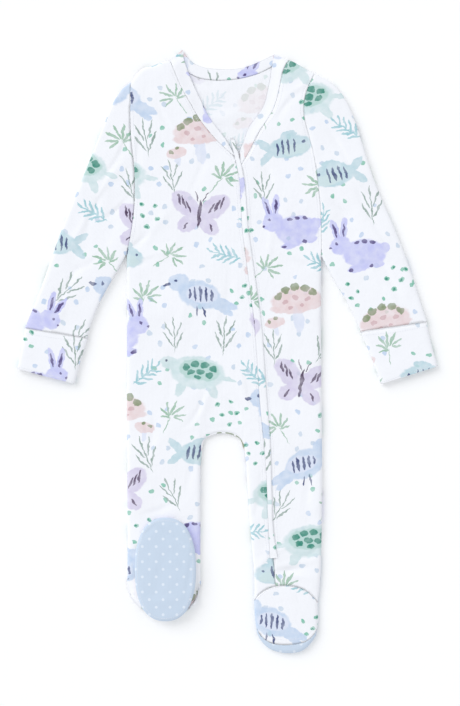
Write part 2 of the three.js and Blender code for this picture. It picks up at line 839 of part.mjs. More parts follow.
function zipGuard() {
  const run = { from: ZIP_END_Y, to: ZIP_LINE.at(-1).y, count: 36 };
  return zipStrip({ ...run, width: guardWidth, cloth: JERSEY, lift: GUARD_LIFT + JERSEY });
}

// Outline of the folded foot: a rounded oval, as its two sides x(y) and its two ends y(x).
function soleReach(share) {
  return (1 - Math.abs(share) ** FOLDED_SOLE.power) ** (1 / FOLDED_SOLE.power);
}

function soleSide(direction) {
  const { x, y, halfWidth, halfLength } = FOLDED_SOLE;
  return (place) => {
    const share = THREE.MathUtils.clamp((place - y) / halfLength, -SOLE_CORNER, SOLE_CORNER);
    return x + direction * halfWidth * soleReach(share);
  };
}

function soleEnd(direction) {
  const { x, y, halfWidth, halfLength } = FOLDED_SOLE;
  return (place) => {
    const corner = soleReach(SOLE_CORNER);
    const share = THREE.MathUtils.clamp((place - x) / halfWidth, -corner, corner);
    return y + direction * halfLength * soleReach(share);
  };
}

// The boundary of a grid, as chains: all round, or without its first row.
function around(plan, withFirstRow) {
  const last = plan.length - 1;
  const across = plan[0].length - 1;
  const sides = [[0, 0], [last, 0], [last, across], [0, across]];
  return [chain(...(withFirstRow ? [...sides, [0, 0]] : sides))];
}

const foldedSeam = () => FOLDED_SEAM;

function foldedSole() {
  const columns = [stations(6, true, true)];
  const borders = [soleSide(-1), soleSide(1)];
  const plan = planBand(soleEnd(-1), soleEnd(1), stations(8, true, true), borders, columns);
  const level = (x, y) => {
    const across = (x - FOLDED_SOLE.x) / FOLDED_SOLE.halfWidth;
    const along = (y - FOLDED_SOLE.y) / FOLDED_SOLE.halfLength;
    const dome = Math.max(0, 1 - across * across) * Math.max(0, 1 - along * along);
    return FOOT_FLOOR + FOLDED_FOOT_HEIGHT + FOOT_DOME * (dome - 1);
  };
  const turned = around(plan, true);
  return panel({ plan, turned, side: 1, cloth: DOUBLED, level, meets: foldedSeam });
}

// The top of the folded foot faces down and lies on its leg.
const VAMP_CLEAR = 14; // its ankle line over the end of the leg
function foldedVamp() {
  const columns = [stations(4, true, true)];
  const borders = [soleSide(-1), soleSide(1)];
  const ankle = () => RIGHT_LEG_END[4].y + VAMP_CLEAR;
  const plan = planBand(ankle, soleEnd(1), stations(6, false, true), borders, columns);
  const level = () => FOOT_FLOOR;
  const turned = around(plan, false);
  return panel({ plan, turned, side: -1, cloth: JERSEY, level, meets: foldedSeam });
}

// The foot that points down, its top towards the viewer.
const footRightEdge = track(FOOT_RIGHT_EDGE, "y", "x");
const footLeftEdge = track(FOOT_LEFT_EDGE, "y", "x");
const toeEnd = track(TOE_END, "x", "y");
const toeSeam = track(TOE_SEAM, "x", "y");

function footLevel(x, y) {
  const across = (x - FOOT_MIDDLE.x) / FOOT_MIDDLE.halfWidth;
  const along = (y - FOOT_MIDDLE.y) / FOOT_MIDDLE.halfLength;
  const dome = Math.max(0, 1 - across * across) * Math.max(0, 1 - along * along);
  return topLevel(x, y) + FOOT_DOME * dome;
}

function straightVamp() {
  const columns = [stations(8, true, true)];
  const borders = [footRightEdge, footLeftEdge];
  const ankle = (x) => ankleArc(x) - CURVED_GAP;
  const plan = planBand(toeSeam, ankle, stations(7, false, false), borders, columns);
  const last = plan.length - 1;
  const across = plan[0].length - 1;
  const turned = [chain([0, 0], [last, 0]), chain([0, across], [last, across])];
  return panel({ plan, turned, side: 1, cloth: JERSEY, level: footLevel });
}

// The sole that lies on the floor comes up over the toes and is sewn to the foot's top there.
function straightSole() {
  const columns = [stations(8, true, true)];
  const borders = [footRightEdge, footLeftEdge];
  const heel = () => HEEL_Y;
  const under = planBand(toeEnd, heel, stations(7, true, false), borders, columns).reverse();
  const sewn = (x) => toeSeam(x) - TOE_GAP;
  const over = planBand(toeEnd, sewn, stations(2, true, false), borders, columns);
  const plan = under.concat(over.slice(1));
  const toeRow = under.length - 1;
  const last = plan.length - 1;
  const across = plan[0].length - 1;
  const turned = [
    chain([0, 0], [last, 0]),
    chain([0, across], [last, across]),
    chain([toeRow, 0], [toeRow, across]),
  ];
  const side = (i) => Math.sign(i - toeRow);
  const level = (x, y, up) => (up > 0 ? footLevel(x, y) : 0);
  return panel({ plan, turned, side, cloth: DOUBLED, level });
}

const PRINTED = { color: 0xf3f5fb, roughness: 0.92, metalness: 0 };
const DOTTED = { color: 0xcbddec, roughness: 0.9, metalness: 0 };
const ZIP = { color: 0xf0f2f4, roughness: 0.5, metalness: 0 };
const PIECES = [
  ["back_panel", backPanel(), PRINTED],
  ["front_right_panel", frontRightPanel(), PRINTED],
  ["front_left_panel", frontLeftPanel(), PRINTED],
  ["sleeve_right", sleeve(SLEEVE_RIGHT, rightSide, -1), PRINTED],
  ["sleeve_left", sleeve(SLEEVE_LEFT, leftSide, 1), PRINTED],
  ["cuff_right", cuff(CUFF_RIGHT), PRINTED],
  ["cuff_left", cuff(CUFF_LEFT), PRINTED],
  ["neckband_right", frontBand(BAND_RIGHT, rightNeckline, 1), PRINTED],
  ["neckband_back", napeBand(), PRINTED],
  ["neckband_left", frontBand(BAND_LEFT, leftNeckline, -1), PRINTED],
  ["zip_chain", zipChain(), ZIP],
  ["zip_guard", zipGuard(), PRINTED],
  ["vamp_right", foldedVamp(), PRINTED],
  ["vamp_left", straightVamp(), PRINTED],
  ["sole_right", foldedSole(), DOTTED],
  ["sole_left", straightSole(), DOTTED],
];

const garment = new THREE.Group();
for (const [name, geometry, finish] of PIECES) {
  const mesh = new THREE.Mesh(geometry, new THREE.MeshStandardMaterial(finish));
  mesh.name = name;
  garment.add(mesh);
}

// The part's origin is the middle of its box, on the floor.
const box = new THREE.Box3().setFromObject(garment);
const middle = box.getCenter(new THREE.Vector3());
garment.position.set(-middle.x, -middle.y, -box.min.z);

export default garment;
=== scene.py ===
"""A footed baby sleepsuit of printed jersey, laid flat on its back and seen from straight above."""
import math

import bmesh
import bpy
import numpy as np
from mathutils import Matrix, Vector
from mathutils.bvhtree import BVHTree
from mathutils.kdtree import KDTree


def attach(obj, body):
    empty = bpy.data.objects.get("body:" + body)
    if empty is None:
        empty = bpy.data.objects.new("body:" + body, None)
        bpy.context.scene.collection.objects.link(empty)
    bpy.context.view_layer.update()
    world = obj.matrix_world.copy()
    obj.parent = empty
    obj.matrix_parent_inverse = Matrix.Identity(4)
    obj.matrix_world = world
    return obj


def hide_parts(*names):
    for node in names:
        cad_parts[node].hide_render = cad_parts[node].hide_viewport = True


bl_info = {
    "name": "Footed Sleepsuit",
    "version": (1, 0, 0),
    "blender": (4, 5, 0),
    "location": "3D View > Sidebar > Sleepsuit",
    "description": "Dresses the sleepsuit's solids in printed jersey, with its seams, zip and soles",
    "category": "Add Mesh",
}

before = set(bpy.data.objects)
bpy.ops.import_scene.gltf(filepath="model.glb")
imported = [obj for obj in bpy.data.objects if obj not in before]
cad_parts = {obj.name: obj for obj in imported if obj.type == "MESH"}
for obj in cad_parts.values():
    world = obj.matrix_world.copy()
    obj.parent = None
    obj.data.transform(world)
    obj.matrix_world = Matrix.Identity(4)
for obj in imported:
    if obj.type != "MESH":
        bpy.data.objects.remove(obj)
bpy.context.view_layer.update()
MM = 0.001


def linear(sheet_hex):
    """An sRGB hex colour as a linear RGBA tuple."""
    shares = [int(sheet_hex[k : k + 2], 16) / 255 for k in (1, 3, 5)]
    return tuple(s / 12.92 if s <= 0.04045 else ((s + 0.055) / 1.055) ** 2.4 for s in shares) + (1.0,)


def rows(columns, text):
    """A short table as a list of dicts: one line a row, numbers under the named columns."""
    names = columns.split()
    lines = [line.split() for line in text.strip().splitlines()]
    return [dict(zip(names, map(float, line))) for line in lines]


# Cut pieces: node, how it is held, cut width and length and area of what shows (mm, mm, cm2),
# turn of the print (degrees), shift of the print (mm) and the colour group it is made of.
PIECES = [
    ("back_panel", "laid", 206, 592, 1015, 0, 1011, 1040, "print"),
    ("front_right_panel", "laid", 157, 578, 616, 0, 1500, 1200, "print"),
    ("front_left_panel", "laid", 86, 575, 328, 3, 1730, 1215, "print"),
    ("sleeve_right", "laid", 240, 290, 296, -19, 1260, 1420, "print"),
    ("sleeve_left", "laid", 250, 290, 350, 19, 1890, 1330, "print"),
    ("cuff_right", "folded", 145, 52, 61, -14, 1405, 1130, "print"),
    ("cuff_left", "folded", 155, 54, 71, 14, 1610, 1000, "print"),
    ("neckband_right", "folded", 10.6, 126, 11.9, 62, 1320, 1750, "print"),
    ("neckband_back", "folded", 11.2, 130, 13.8, 0, 1010, 1610, "print"),
    ("neckband_left", "folded", 10.6, 128, 12.6, -60, 1120, 1810, "print"),
    ("zip_guard", "folded", 10, 448, 28.7, 4, 1466, 1333, "print"),
    ("zip_chain", "laid", 10, 417, 15.8, 0, 0, 0, "tape"),
    ("vamp_right", "folded", 65, 96, 53.5, 8, 1200, 1900, "print"),
    ("vamp_left", "folded", 69, 64, 35.5, -6, 1395, 1540, "print"),
    ("sole_right", "folded", 66, 111, 57.2, 0, 1000, 1000, "dots"),
    ("sole_left", "folded", 73, 119, 70.3, 0, 1000, 1000, "dots"),
]

# Creases of the upper cloth (mm from the part's origin, degrees, mm).
# A negative rise is a trough; bow bends the crease sideways at its ends.
CREASES = rows("x y angle length width rise bow", """
    -92   118   40   46   2.6  -0.75   3
    -78   132   52   64   4.0   0.55  -4
    -88    96   22   40   3.0  -0.50   2
    -70   106   30   58   4.5   0.40   5
     84   116  -38   48   2.6  -0.75  -3
     72   131  -50   60   4.0   0.55   4
     86    92  -20   42   3.0  -0.50  -2
     64   104  -30   54   4.5   0.40  -5
    -34   -66   58   52   2.6  -0.60   5
    -22   -50   70   66   4.5   0.50  -5
      8   -62  -62   46   2.6  -0.60  -4
     18   -44  -74   58   4.5   0.45   4
     -6   -80    8   44   3.2  -0.45   4
    -60   -30   84   90   5.0  -0.40   6
     64   -40   88   96   5.0  -0.40  -5
    -48    40   76   84   6.0   0.35   8
      0    60   82  110   5.0  -0.35   6
     66    30   80   88   5.5   0.35  -6
    -80   -90   80   60   3.6  -0.50   3
    -40  -130   76   54   3.2  -0.45  -3
    -74  -168   20   48   3.4  -0.45   3
     34  -150   82   70   3.4  -0.45   4
     84  -150   84   74   4.0  -0.45  -4
     60  -232    5   64   2.2  -0.90   3
     70  -224   12   50   2.6   0.75  -2
     68  -238   -5   58   2.4   0.60   3
     40  -226   50   38   2.2  -0.60   2
     88  -214   30   34   2.4  -0.55   2
     60  -208   14   46   3.0   0.45   3
    -66   246  -58   50   3.2  -0.50   4
    -56   268  -40   44   2.8   0.45  -3
     62   262   52   52   3.0  -0.55  -4
     76   280   34   38   2.8   0.45   3
    -94   220   84   80   3.4  -0.45   2
     86   226  -84   78   3.4  -0.45  -2
    -30   190   70   56   3.6  -0.35   4
     44   190  -74   60   3.6  -0.35  -4
     20   150   86   90   3.0   0.35  -3
     46   130   88   80   3.0   0.30   3
   -112   214   64   74   3.4  -0.55   5
   -126   182   58   66   4.4   0.50  -4
   -118   150   40   40   2.8  -0.60   3
   -142   150   64   80   3.2  -0.55  -4
   -160   124   56   60   4.4   0.45   4
   -150    92   30   44   3.0  -0.50   3
   -168    74   62   70   3.4  -0.45  -3
   -176    44   70   52   3.6   0.40   3
    120   216  -62   74   3.4  -0.55  -5
    132   186  -58   66   4.4   0.50   4
    122   150  -40   42   2.8  -0.60  -3
    148   150  -62   80   3.2  -0.55   4
    158   122  -56   60   4.4   0.45  -4
    150    92  -30   46   3.0  -0.50  -3
    172    78  -62   70   3.4  -0.45   3
    178    48  -70   52   3.6   0.40  -3
""")

# Free edge of the neckband from the right shoulder to the zip and up to the left shoulder (mm).
# The upper cloth sinks towards the back there, by this much and over this distance.
NECK_EDGE = [
    (-48, 320), (-42, 297), (-37, 283.5), (-29.5, 268.5), (-23, 254), (-14, 241), (-6, 230.5), (2, 221),
    (12, 213.5), (17.5, 224), (22, 237), (29.5, 247.5), (37.5, 259), (41.5, 273), (45, 290), (49, 315),
]
NECK_DROP = 2.8
NECK_REACH = 11.0

# The end of the folded leg (mm): where it starts, and how far up the front follows its edge.
LEG_END_Y = -244.5
LEG_FOLLOW = 8.0

# Seams (mm): how wide a gap is closed, how far the edges then overlap and sink, and how far
# free edges are lowered. The fronts below the end of the zip and the guard have their own.
SEAM_REACH = 2.6
SEAM_OVERLAP = 0.2
SEAM_SINK = 0.1
EDGE_SOFTNESS = 0.45
ZIP_END_Y = -215.5
FRONTS_REACH = 5.4
FRONTS_OVERLAP = 0.1
GUARD_DROP = 0.4
GUARD_SOFTNESS = 0.5

# Longest edge of the faces that look up (mm).
FINE_EDGE = 3.4

# Creases of the cloth that lies on the floor: it lifts a little along them.
UNDER_CREASES = rows("x y angle length width rise bow", """
    -60   110   48   90   5   0.8   6
     70    90  -50   96   5   0.8  -6
    -10   -60   80   90   6   0.7   6
    -70   -60   86  110   5   0.6  -5
     60   -70   84  120   5   0.6   5
    -30   190   60   80   5   0.6   5
     40   210  -70   80   5   0.6  -5
    -66  -170   84   90   5   0.6   4
     62  -160   86   90   5   0.6  -4
   -130   170   62  100   5   0.7   5
   -160   100   66   90   5   0.6  -5
    130   160  -60  100   5   0.7  -5
    166    90  -66   90   5   0.6   5
      0   250   10   60   6   0.5   4
    -20   276  -14   44   5   0.5  -3
""")

# Creases of the foot that is folded up on its leg.
FOOT_CREASES = rows("x y angle length width rise bow", """
    -58  -196  -32   52   2.4  -0.70   3
    -50  -203  -34   44   2.8   0.45  -3
    -84  -190   40   30   2.6  -0.45   2
    -66  -262    6   54   3.0   0.30   4
    -40  -232   82   80   2.6  -0.40   2
    -72  -236   70   70   7.0  -0.25   5
""")

# Seams and rows of stitches, as lines on the garment seen from above (mm from the part's origin).
# Each has how far its stitches lie aside (mm to the left of the line).
ZIP_LINE = [
    (48.75, -219), (45.75, -189), (44.25, -147), (42.25, -104), (37.75, -51), (33.75, 7),
    (31.75, 33), (27.25, 65), (21.75, 107), (18.75, 128), (16.75, 160), (15.25, 182), (10.75, 203),
    (6, 222),
]
SEAMS = {
    "neck_right": ([(4, 209), (-10, 222), (-22, 235), (-31.5, 248), (-39, 262), (-47.5, 276),
                    (-54, 289.5), (-59, 300)], 2.2),
    "neck_left": ([(17, 200), (25.5, 213), (32, 228), (39.5, 240), (49, 253), (54, 268),
                   (57.5, 285), (60.5, 300)], -2.2),
    "armhole_right": ([(-102.5, 279), (-102.5, 258), (-102, 233), (-98, 192), (-97.5, 160),
                       (-100, 134), (-104, 113)], 2.4),
    "armhole_left": ([(88, 288), (82, 275), (79.3, 256), (82.3, 240), (89.5, 215), (95.5, 175),
                      (98, 149), (98.8, 112)], -2.4),
    "wrist_right": ([(-213.5, 21), (-182, 16), (-149, 12)], -2.0),
    "wrist_left": ([(209.5, 28), (176, 22), (142, 19)], 2.0),
    "hem_right": ([(-221, -14), (-192, -21.5), (-164, -29.5)], -2.4),
    "hem_left": ([(221, -11.5), (192, -20.5), (165, -29.8)], 2.4),
    "ankle_left": ([(30.5, -260), (36, -254), (43, -249.5), (60.5, -245.8), (75, -248),
                    (87, -254), (94, -262)], -2.4),
    "toe_left": ([(33, -293), (38.5, -301), (47, -306), (60, -308), (75, -306.5), (87, -302),
                  (92.5, -295)], 2.2),
}

# The folded foot's sole, a rounded oval: middle, half width and half length, power (mm).
SOLE_OVAL = (-65.8, -230.4, 32.5, 55.0, 2.4)

# The stage: floor, light from a wide window, and the camera above (m, degrees, mm of lens).
FLOOR_SIZE = 80.0
FLOOR_GAP = 0.3 * MM
ROOM_LIGHT = 0.88
WINDOW_LIGHT = 1.1
WINDOW_SPREAD = 42
WINDOW_WAY = (1.0, -0.8, -0.85)
CAMERA_PLACE = (2.6 * MM, -1.6 * MM, 1.772)
CAMERA_LENS = 85

# Motifs of the print, drawn from ellipses: x y half_length half_width angle (mm, degrees).
MOTIFS = {
    "turtle": [
        ("sage", "1 1 18 10.5 4; 20 6 6 4.4 18; 14 2 6 3.4 20; 11 -9 7 3 -62; -9 -9 7 3 -116;"
                 "-19 -2 6 1.6 14"),
        ("foam", "0 2.5 13.5 7 4"),
        ("pine", "-9 3.6 2.7 2.1 20; -3.4 6.4 2.8 2.1 4; 3.2 6.6 2.8 2.1 -8; 9 4.2 2.4 2 -24;"
                 "-6.6 -0.6 2.6 1.8 0; -0.6 1.6 3 2.1 0; 5.6 1.2 2.6 1.9 0; 0.8 -2.4 2.6 1.4 0"),
        ("ink", "22.5 7.6 0.9 0.9 0"),
    ],
    "bird": [
        ("sky", "0 0 14 9 24; 12 10 7 6 0; -14.6 -8 10 3.2 28; -13.4 -11 8.6 2.4 42"),
        ("haze", "-2 0 10.5 5.6 12"),
        ("navy", "-8 -1.5 4 0.9 96; -4.6 -0.4 4.8 1 96; -1 0.4 5 1 96; 2.6 1 4.4 0.9 96; 6 1.6 3 0.8 96;"
                 "19.8 9.6 2.6 1 -8; -1.6 -11.4 3.6 0.6 80; 3 -10.6 3.6 0.6 96; 13.6 11.6 0.9 1 0"),
    ],
    "butterfly": [
        ("lavender", "-9.5 6.5 11 6.8 -38; 9.5 6.5 11 6.8 38; -7 -6 7.4 5.2 36; 7 -6 7.4 5.2 -36"),
        ("plum", "0 1 9.5 1.2 90; -14 9.5 4 0.8 -72; -11 7.6 4.6 0.8 -68; -7.8 5.6 4.2 0.8 -62;"
                 "14 9.5 4 0.8 72; 11 7.6 4.6 0.8 68; 7.8 5.6 4.2 0.8 62; -8.4 -7.4 2.8 0.7 62;"
                 "8.4 -7.4 2.8 0.7 -62; -2.8 12.4 3.6 0.4 116; 2.8 12.4 3.6 0.4 64"),
    ],
    "toadstool": [
        ("haze", "0 -9 9 3.6 88; 15.6 -14 4.2 1.6 84"),
        ("blush", "0 3.4 16.5 8.6 0; 0 -0.6 17.4 4 0; 15.8 -9.4 6.8 3.6 -8"),
        ("olive", "-11.6 7 2.9 2.3 28; -6.6 10.6 3 2.4 14; 0 12 3.1 2.5 0; 6.6 10.6 3 2.4 -14;"
                  "11.6 7 2.9 2.3 -28; 15 -6.6 1.5 1.2 0; 19.4 -8.6 1.4 1.1 -24"),
        ("clay", "-7.4 3.4 2 1.5 0; 0.4 5.2 2.2 1.6 0; 7.6 3 2 1.5 0; -2.8 -0.4 1.6 1.1 0;"
                 "4.2 -1.2 1.5 1 0"),
    ],
    "bunny": [
        ("lilac", "-2 -3 14 9.6 8; 12 5.4 7 6.2 0; 8 15.4 7.6 2.3 106; 13.8 15.6 7.6 2.3 82;"
                  "-15.6 -1.6 3.8 3.6 0; 4 -11.6 6.6 2.6 0; -9 -11 5 2.4 0"),
        ("grape", "8 15.2 4.6 0.9 106; 13.8 15.4 4.6 0.9 82; 14.4 6.8 1 1.1 0; 18.6 4.2 0.9 0.7 0;"
                  "8.4 -12 1.7 1.3 0; -5.2 -11.6 1.6 1.2 0; -9 3.4 1.9 1.3 24; -4 5 1.8 1.2 12;"
                  "1 5 1.6 1.1 0"),
    ],
    "fish": [
        ("lagoon", "1 0 14.5 7.6 0; -15.4 4 6.6 2.6 -42; -15.4 -4 6.6 2.6 42; 1 7.6 6 2.6 8"),
        ("sage", "4 -2.4 9.4 3.6 0"),
        ("navy", "-7.4 0 4.2 0.9 84; -3.8 0.4 5 0.9 84; 0 0.4 5.2 0.9 84; 3.8 0.2 4.6 0.8 84;"
                 "10.4 2 1 1 0"),
    ],
}
LEAVES = {
    "sprig": [
        ("twig", "0.6 -4 12 0.5 84; -4.4 -3.4 8 0.75 118; 4.8 -5.4 7.4 0.75 58; -3.2 5 7.4 0.7 112;"
                 "5.4 3.4 7.2 0.7 62; 1.8 9 5.4 0.65 88"),
    ],
    "frond": [
        ("teal", "0 0 13 0.5 34; -7 -1 5.4 0.9 84; -3 1.6 5.6 0.9 84; 1 4.6 5.2 0.9 82; 5 7.4 4.4 0.8 78;"
                 "-5 -6.4 5 0.9 -8; -1 -3.6 5.6 0.9 -8; 3 -0.8 5.4 0.9 -6; 7 2 4.6 0.8 -4;"
                 "9.6 7.6 3 0.8 50"),
    ],
    "fan": [
        ("fir", "-5.6 -9 8 0.45 62; 1 5 6.6 1.05 62; -3.4 4.6 6 1.05 96; 4.8 2.6 6.4 1.05 30;"
                "-6.4 1.6 5.4 1 130;"
                "6 -1.6 5.4 1 0; -6.8 -2 4.4 0.9 164; 4 -4.6 4.4 0.9 -34"),
    ],
    "pebbles": [
        ("mint", "-7 6 2.1 1.7 20; 2.6 9.4 2 1.6 -20; 8.4 1.6 2.1 1.6 30; -2.6 -1 2.2 1.7 0;"
                 "4 -7.6 2 1.6 10;"
                 "-9.4 -6 2 1.6 -30"),
        ("pine", "-7.4 6 1.1 0.8 20; 2.2 9.6 1 0.8 -20; 8.8 1.4 1 0.8 30; -2.2 -1.2 1.1 0.9 0;"
                 "4.2 -7.8 1 0.8 10"),
    ],
}
SPECKS = {
    "rain": [("sky", "-5 4 1.8 1.5 20; 4.6 6 1.6 1.4 0; 1.4 -5.4 1.8 1.4 -20")],
    "seeds": [("mint", "-4 -4.6 1.6 1.3 30; 5.4 1 1.7 1.3 -20; -2.4 5.4 1.5 1.2 10")],
    "petals": [("dew", "-5 -3 1.9 1.5 10; 5 -4.6 1.7 1.4 -24; 2.6 5.2 1.8 1.4 14")],
}
INKS = {
    "sage": "#CFE1E3", "foam": "#B7D5CF", "pine": "#3E8C7A", "ink": "#3B3E63", "sky": "#C3D4EA",
    "haze": "#DDE3F2", "dew": "#CBD8E6", "navy": "#4B5580", "lavender": "#D6CFE6", "plum": "#55445E",
    "blush": "#E6D2D3", "olive": "#8A9878", "clay": "#D2B4B8", "lilac": "#C6C8F1", "grape": "#5A4E80",
    "lagoon": "#BED7DF", "twig": "#93A79E", "teal": "#9CCAD2", "fir": "#9DBFA9", "mint": "#83C2AC",
}


class SleepsuitSizes(bpy.types.PropertyGroup):
    """Sizes of the cloth, the print and the sewing"""

    crease_depth: bpy.props.FloatProperty(
        name="Crease depth", description="Times the depth of every crease", default=1.6, min=0.0, max=2.0,
        subtype="FACTOR")
    motif_pitch: bpy.props.FloatProperty(
        name="Motif pitch", description="Distance between the large motifs of the print",
        default=84 * MM, min=30 * MM, max=150 * MM, unit="LENGTH")
    stitch_pitch: bpy.props.FloatProperty(
        name="Stitch pitch", description="Distance between stitches", default=2.6 * MM, min=1 * MM,
        max=6 * MM, unit="LENGTH")
    thread: bpy.props.FloatProperty(
        name="Thread", description="Thickness of the sewing thread", default=0.42 * MM, min=0.1 * MM,
        max=1 * MM, unit="LENGTH")
    coil_pitch: bpy.props.FloatProperty(
        name="Coil pitch", description="Distance between the turns of the zip's coil", default=1.5 * MM,
        min=0.8 * MM, max=3 * MM, unit="LENGTH")


class SleepsuitColours(bpy.types.PropertyGroup):
    """Colours of the cloth, the soles, the thread and the zip"""

    jersey: bpy.props.FloatVectorProperty(
        name="Jersey", description="Ground of the printed jersey", size=4, subtype="COLOR", min=0, max=1,
        default=linear("#F3F4F8"))
    sole: bpy.props.FloatVectorProperty(
        name="Sole", description="Ground of the dotted soles", size=4, subtype="COLOR", min=0, max=1,
        default=linear("#CAD8E8"))
    dots: bpy.props.FloatVectorProperty(
        name="Dots", description="Dots of the soles", size=4, subtype="COLOR", min=0, max=1,
        default=linear("#E3EBF5"))
    thread: bpy.props.FloatVectorProperty(
        name="Thread", description="Sewing thread", size=4, subtype="COLOR", min=0, max=1,
        default=linear("#E9EBF2"))
    zip_tape: bpy.props.FloatVectorProperty(
        name="Zip tape", description="Woven tape of the zip", size=4, subtype="COLOR", min=0, max=1,
        default=linear("#F1F3F7"))
    floor: bpy.props.FloatVectorProperty(
        name="Floor", description="Pale floor under the garment", size=4, subtype="COLOR", min=0, max=1,
        default=linear("#FDFDFD"))


# Materials

def add(tree, kind, links=None, give=0, **settings):
    """Adds a node with its settings and links, and returns one of its outputs."""
    node = tree.nodes.new(kind)
    for name, value in settings.items():
        setattr(node, name, value)
    for socket, value in (links or {}).items():
        if isinstance(value, bpy.types.NodeSocket):
            tree.links.new(value, node.inputs[socket])
        else:
            node.inputs[socket].default_value = value
    return node.outputs[give] if len(node.outputs) else node


def half_drop(tree, place, pitch, shift, order, kinds, spread):
    """A half-drop repeat: the place in a cell (mm from its middle, turned and flipped by
    the cell's own random values) and the number of the motif that the cell holds."""
    step = add(tree, "ShaderNodeMapping", {
        0: place, 1: (-shift[0] / pitch[0], -shift[1] / pitch[1], 0), 3: (1 / pitch[0], 1 / pitch[1], 0)})
    across = add(tree, "ShaderNodeSeparateXYZ", {0: step})
    up = across.node.outputs[1]
    column = add(tree, "ShaderNodeMath", {0: across}, operation="FLOOR")
    odd = add(tree, "ShaderNodeMath", {0: column, 1: 2.0}, operation="FLOORED_MODULO")
    dropped = add(tree, "ShaderNodeMath", {0: odd, 1: 0.5, 2: up}, operation="MULTIPLY_ADD")
    cells = add(tree, "ShaderNodeCombineXYZ", {0: across, 1: dropped})
    cell = add(tree, "ShaderNodeVectorMath", {0: cells}, operation="FLOOR")
    part = add(tree, "ShaderNodeVectorMath", {0: cells}, operation="FRACTION")
    middle = add(tree, "ShaderNodeVectorMath", {0: part, 1: (0.5, 0.5, 0)}, operation="SUBTRACT")
    local = add(tree, "ShaderNodeVectorMath", {0: middle, 1: (*pitch, 0)}, operation="MULTIPLY")
    if not kinds:
        return local, None
    chance = add(tree, "ShaderNodeTexWhiteNoise", {0: cell}, give=1, noise_dimensions="3D")
    turn_share = add(tree, "ShaderNodeSeparateColor", {0: chance})
    flip_share = turn_share.node.outputs[1]
    turn = add(tree, "ShaderNodeMath", {0: turn_share, 1: 2 * spread, 2: -spread}, operation="MULTIPLY_ADD")
    turned = add(tree, "ShaderNodeVectorRotate", {0: local, 3: turn}, rotation_type="Z_AXIS")
    side = add(tree, "ShaderNodeMath", {0: flip_share, 1: 0.5}, operation="SUBTRACT")
    sign = add(tree, "ShaderNodeMath", {0: side}, operation="SIGN")
    mirror = add(tree, "ShaderNodeCombineXYZ", {0: sign, 1: 1.0, 2: 1.0})
    flipped = add(tree, "ShaderNodeVectorMath", {0: turned, 1: mirror}, operation="MULTIPLY")
    count = add(tree, "ShaderNodeVectorMath", {0: cell, 1: order}, give=1, operation="DOT_PRODUCT")
    kind = add(tree, "ShaderNodeMath", {0: count, 1: float(kinds)}, operation="FLOORED_MODULO")
    return flipped, kind


def paint(tree, ground, local, kind, motifs, wash, size):
    """Paints the motifs over the ground, each in the cells of its number."""
    for number, layers in enumerate(motifs.values()):
        here = add(tree, "ShaderNodeMath", {0: kind, 1: float(number), 2: 0.5}, operation="COMPARE")
        strength = add(tree, "ShaderNodeMath", {0: here, 1: wash}, operation="MULTIPLY")
        turned = {}
        for ink, text in layers:
            nearest = None
            for row in text.split(";"):
                x, y, length, width, angle = map(float, row.split())
                turn = math.radians(angle)
                if angle not in turned:
                    turned[angle] = add(tree, "ShaderNodeVectorRotate", {0: local, 3: -turn},
                                        rotation_type="Z_AXIS")
                along = (x * math.cos(turn) + y * math.sin(turn)) / length
                across = (y * math.cos(turn) - x * math.sin(turn)) / width
                spot = add(tree, "ShaderNodeVectorMath", {
                    0: turned[angle], 1: (1 / (length * size), 1 / (width * size), 0),
                    2: (-along, -across, 0)}, operation="MULTIPLY_ADD")
                reach = add(tree, "ShaderNodeVectorMath", {0: spot}, give=1, operation="LENGTH")
                if nearest is not None:
                    reach = add(tree, "ShaderNodeMath", {0: nearest, 1: reach}, operation="MINIMUM")
                nearest = reach
            mask = add(tree, "ShaderNodeMapRange", {0: nearest, 1: 1.08, 2: 0.92, 3: 0.0, 4: strength},
                       interpolation_type="SMOOTHSTEP")
            ground = add(tree, "ShaderNodeMix", {0: mask, 6: ground, 7: linear(INKS[ink])}, give=2,
                         data_type="RGBA")
    return ground


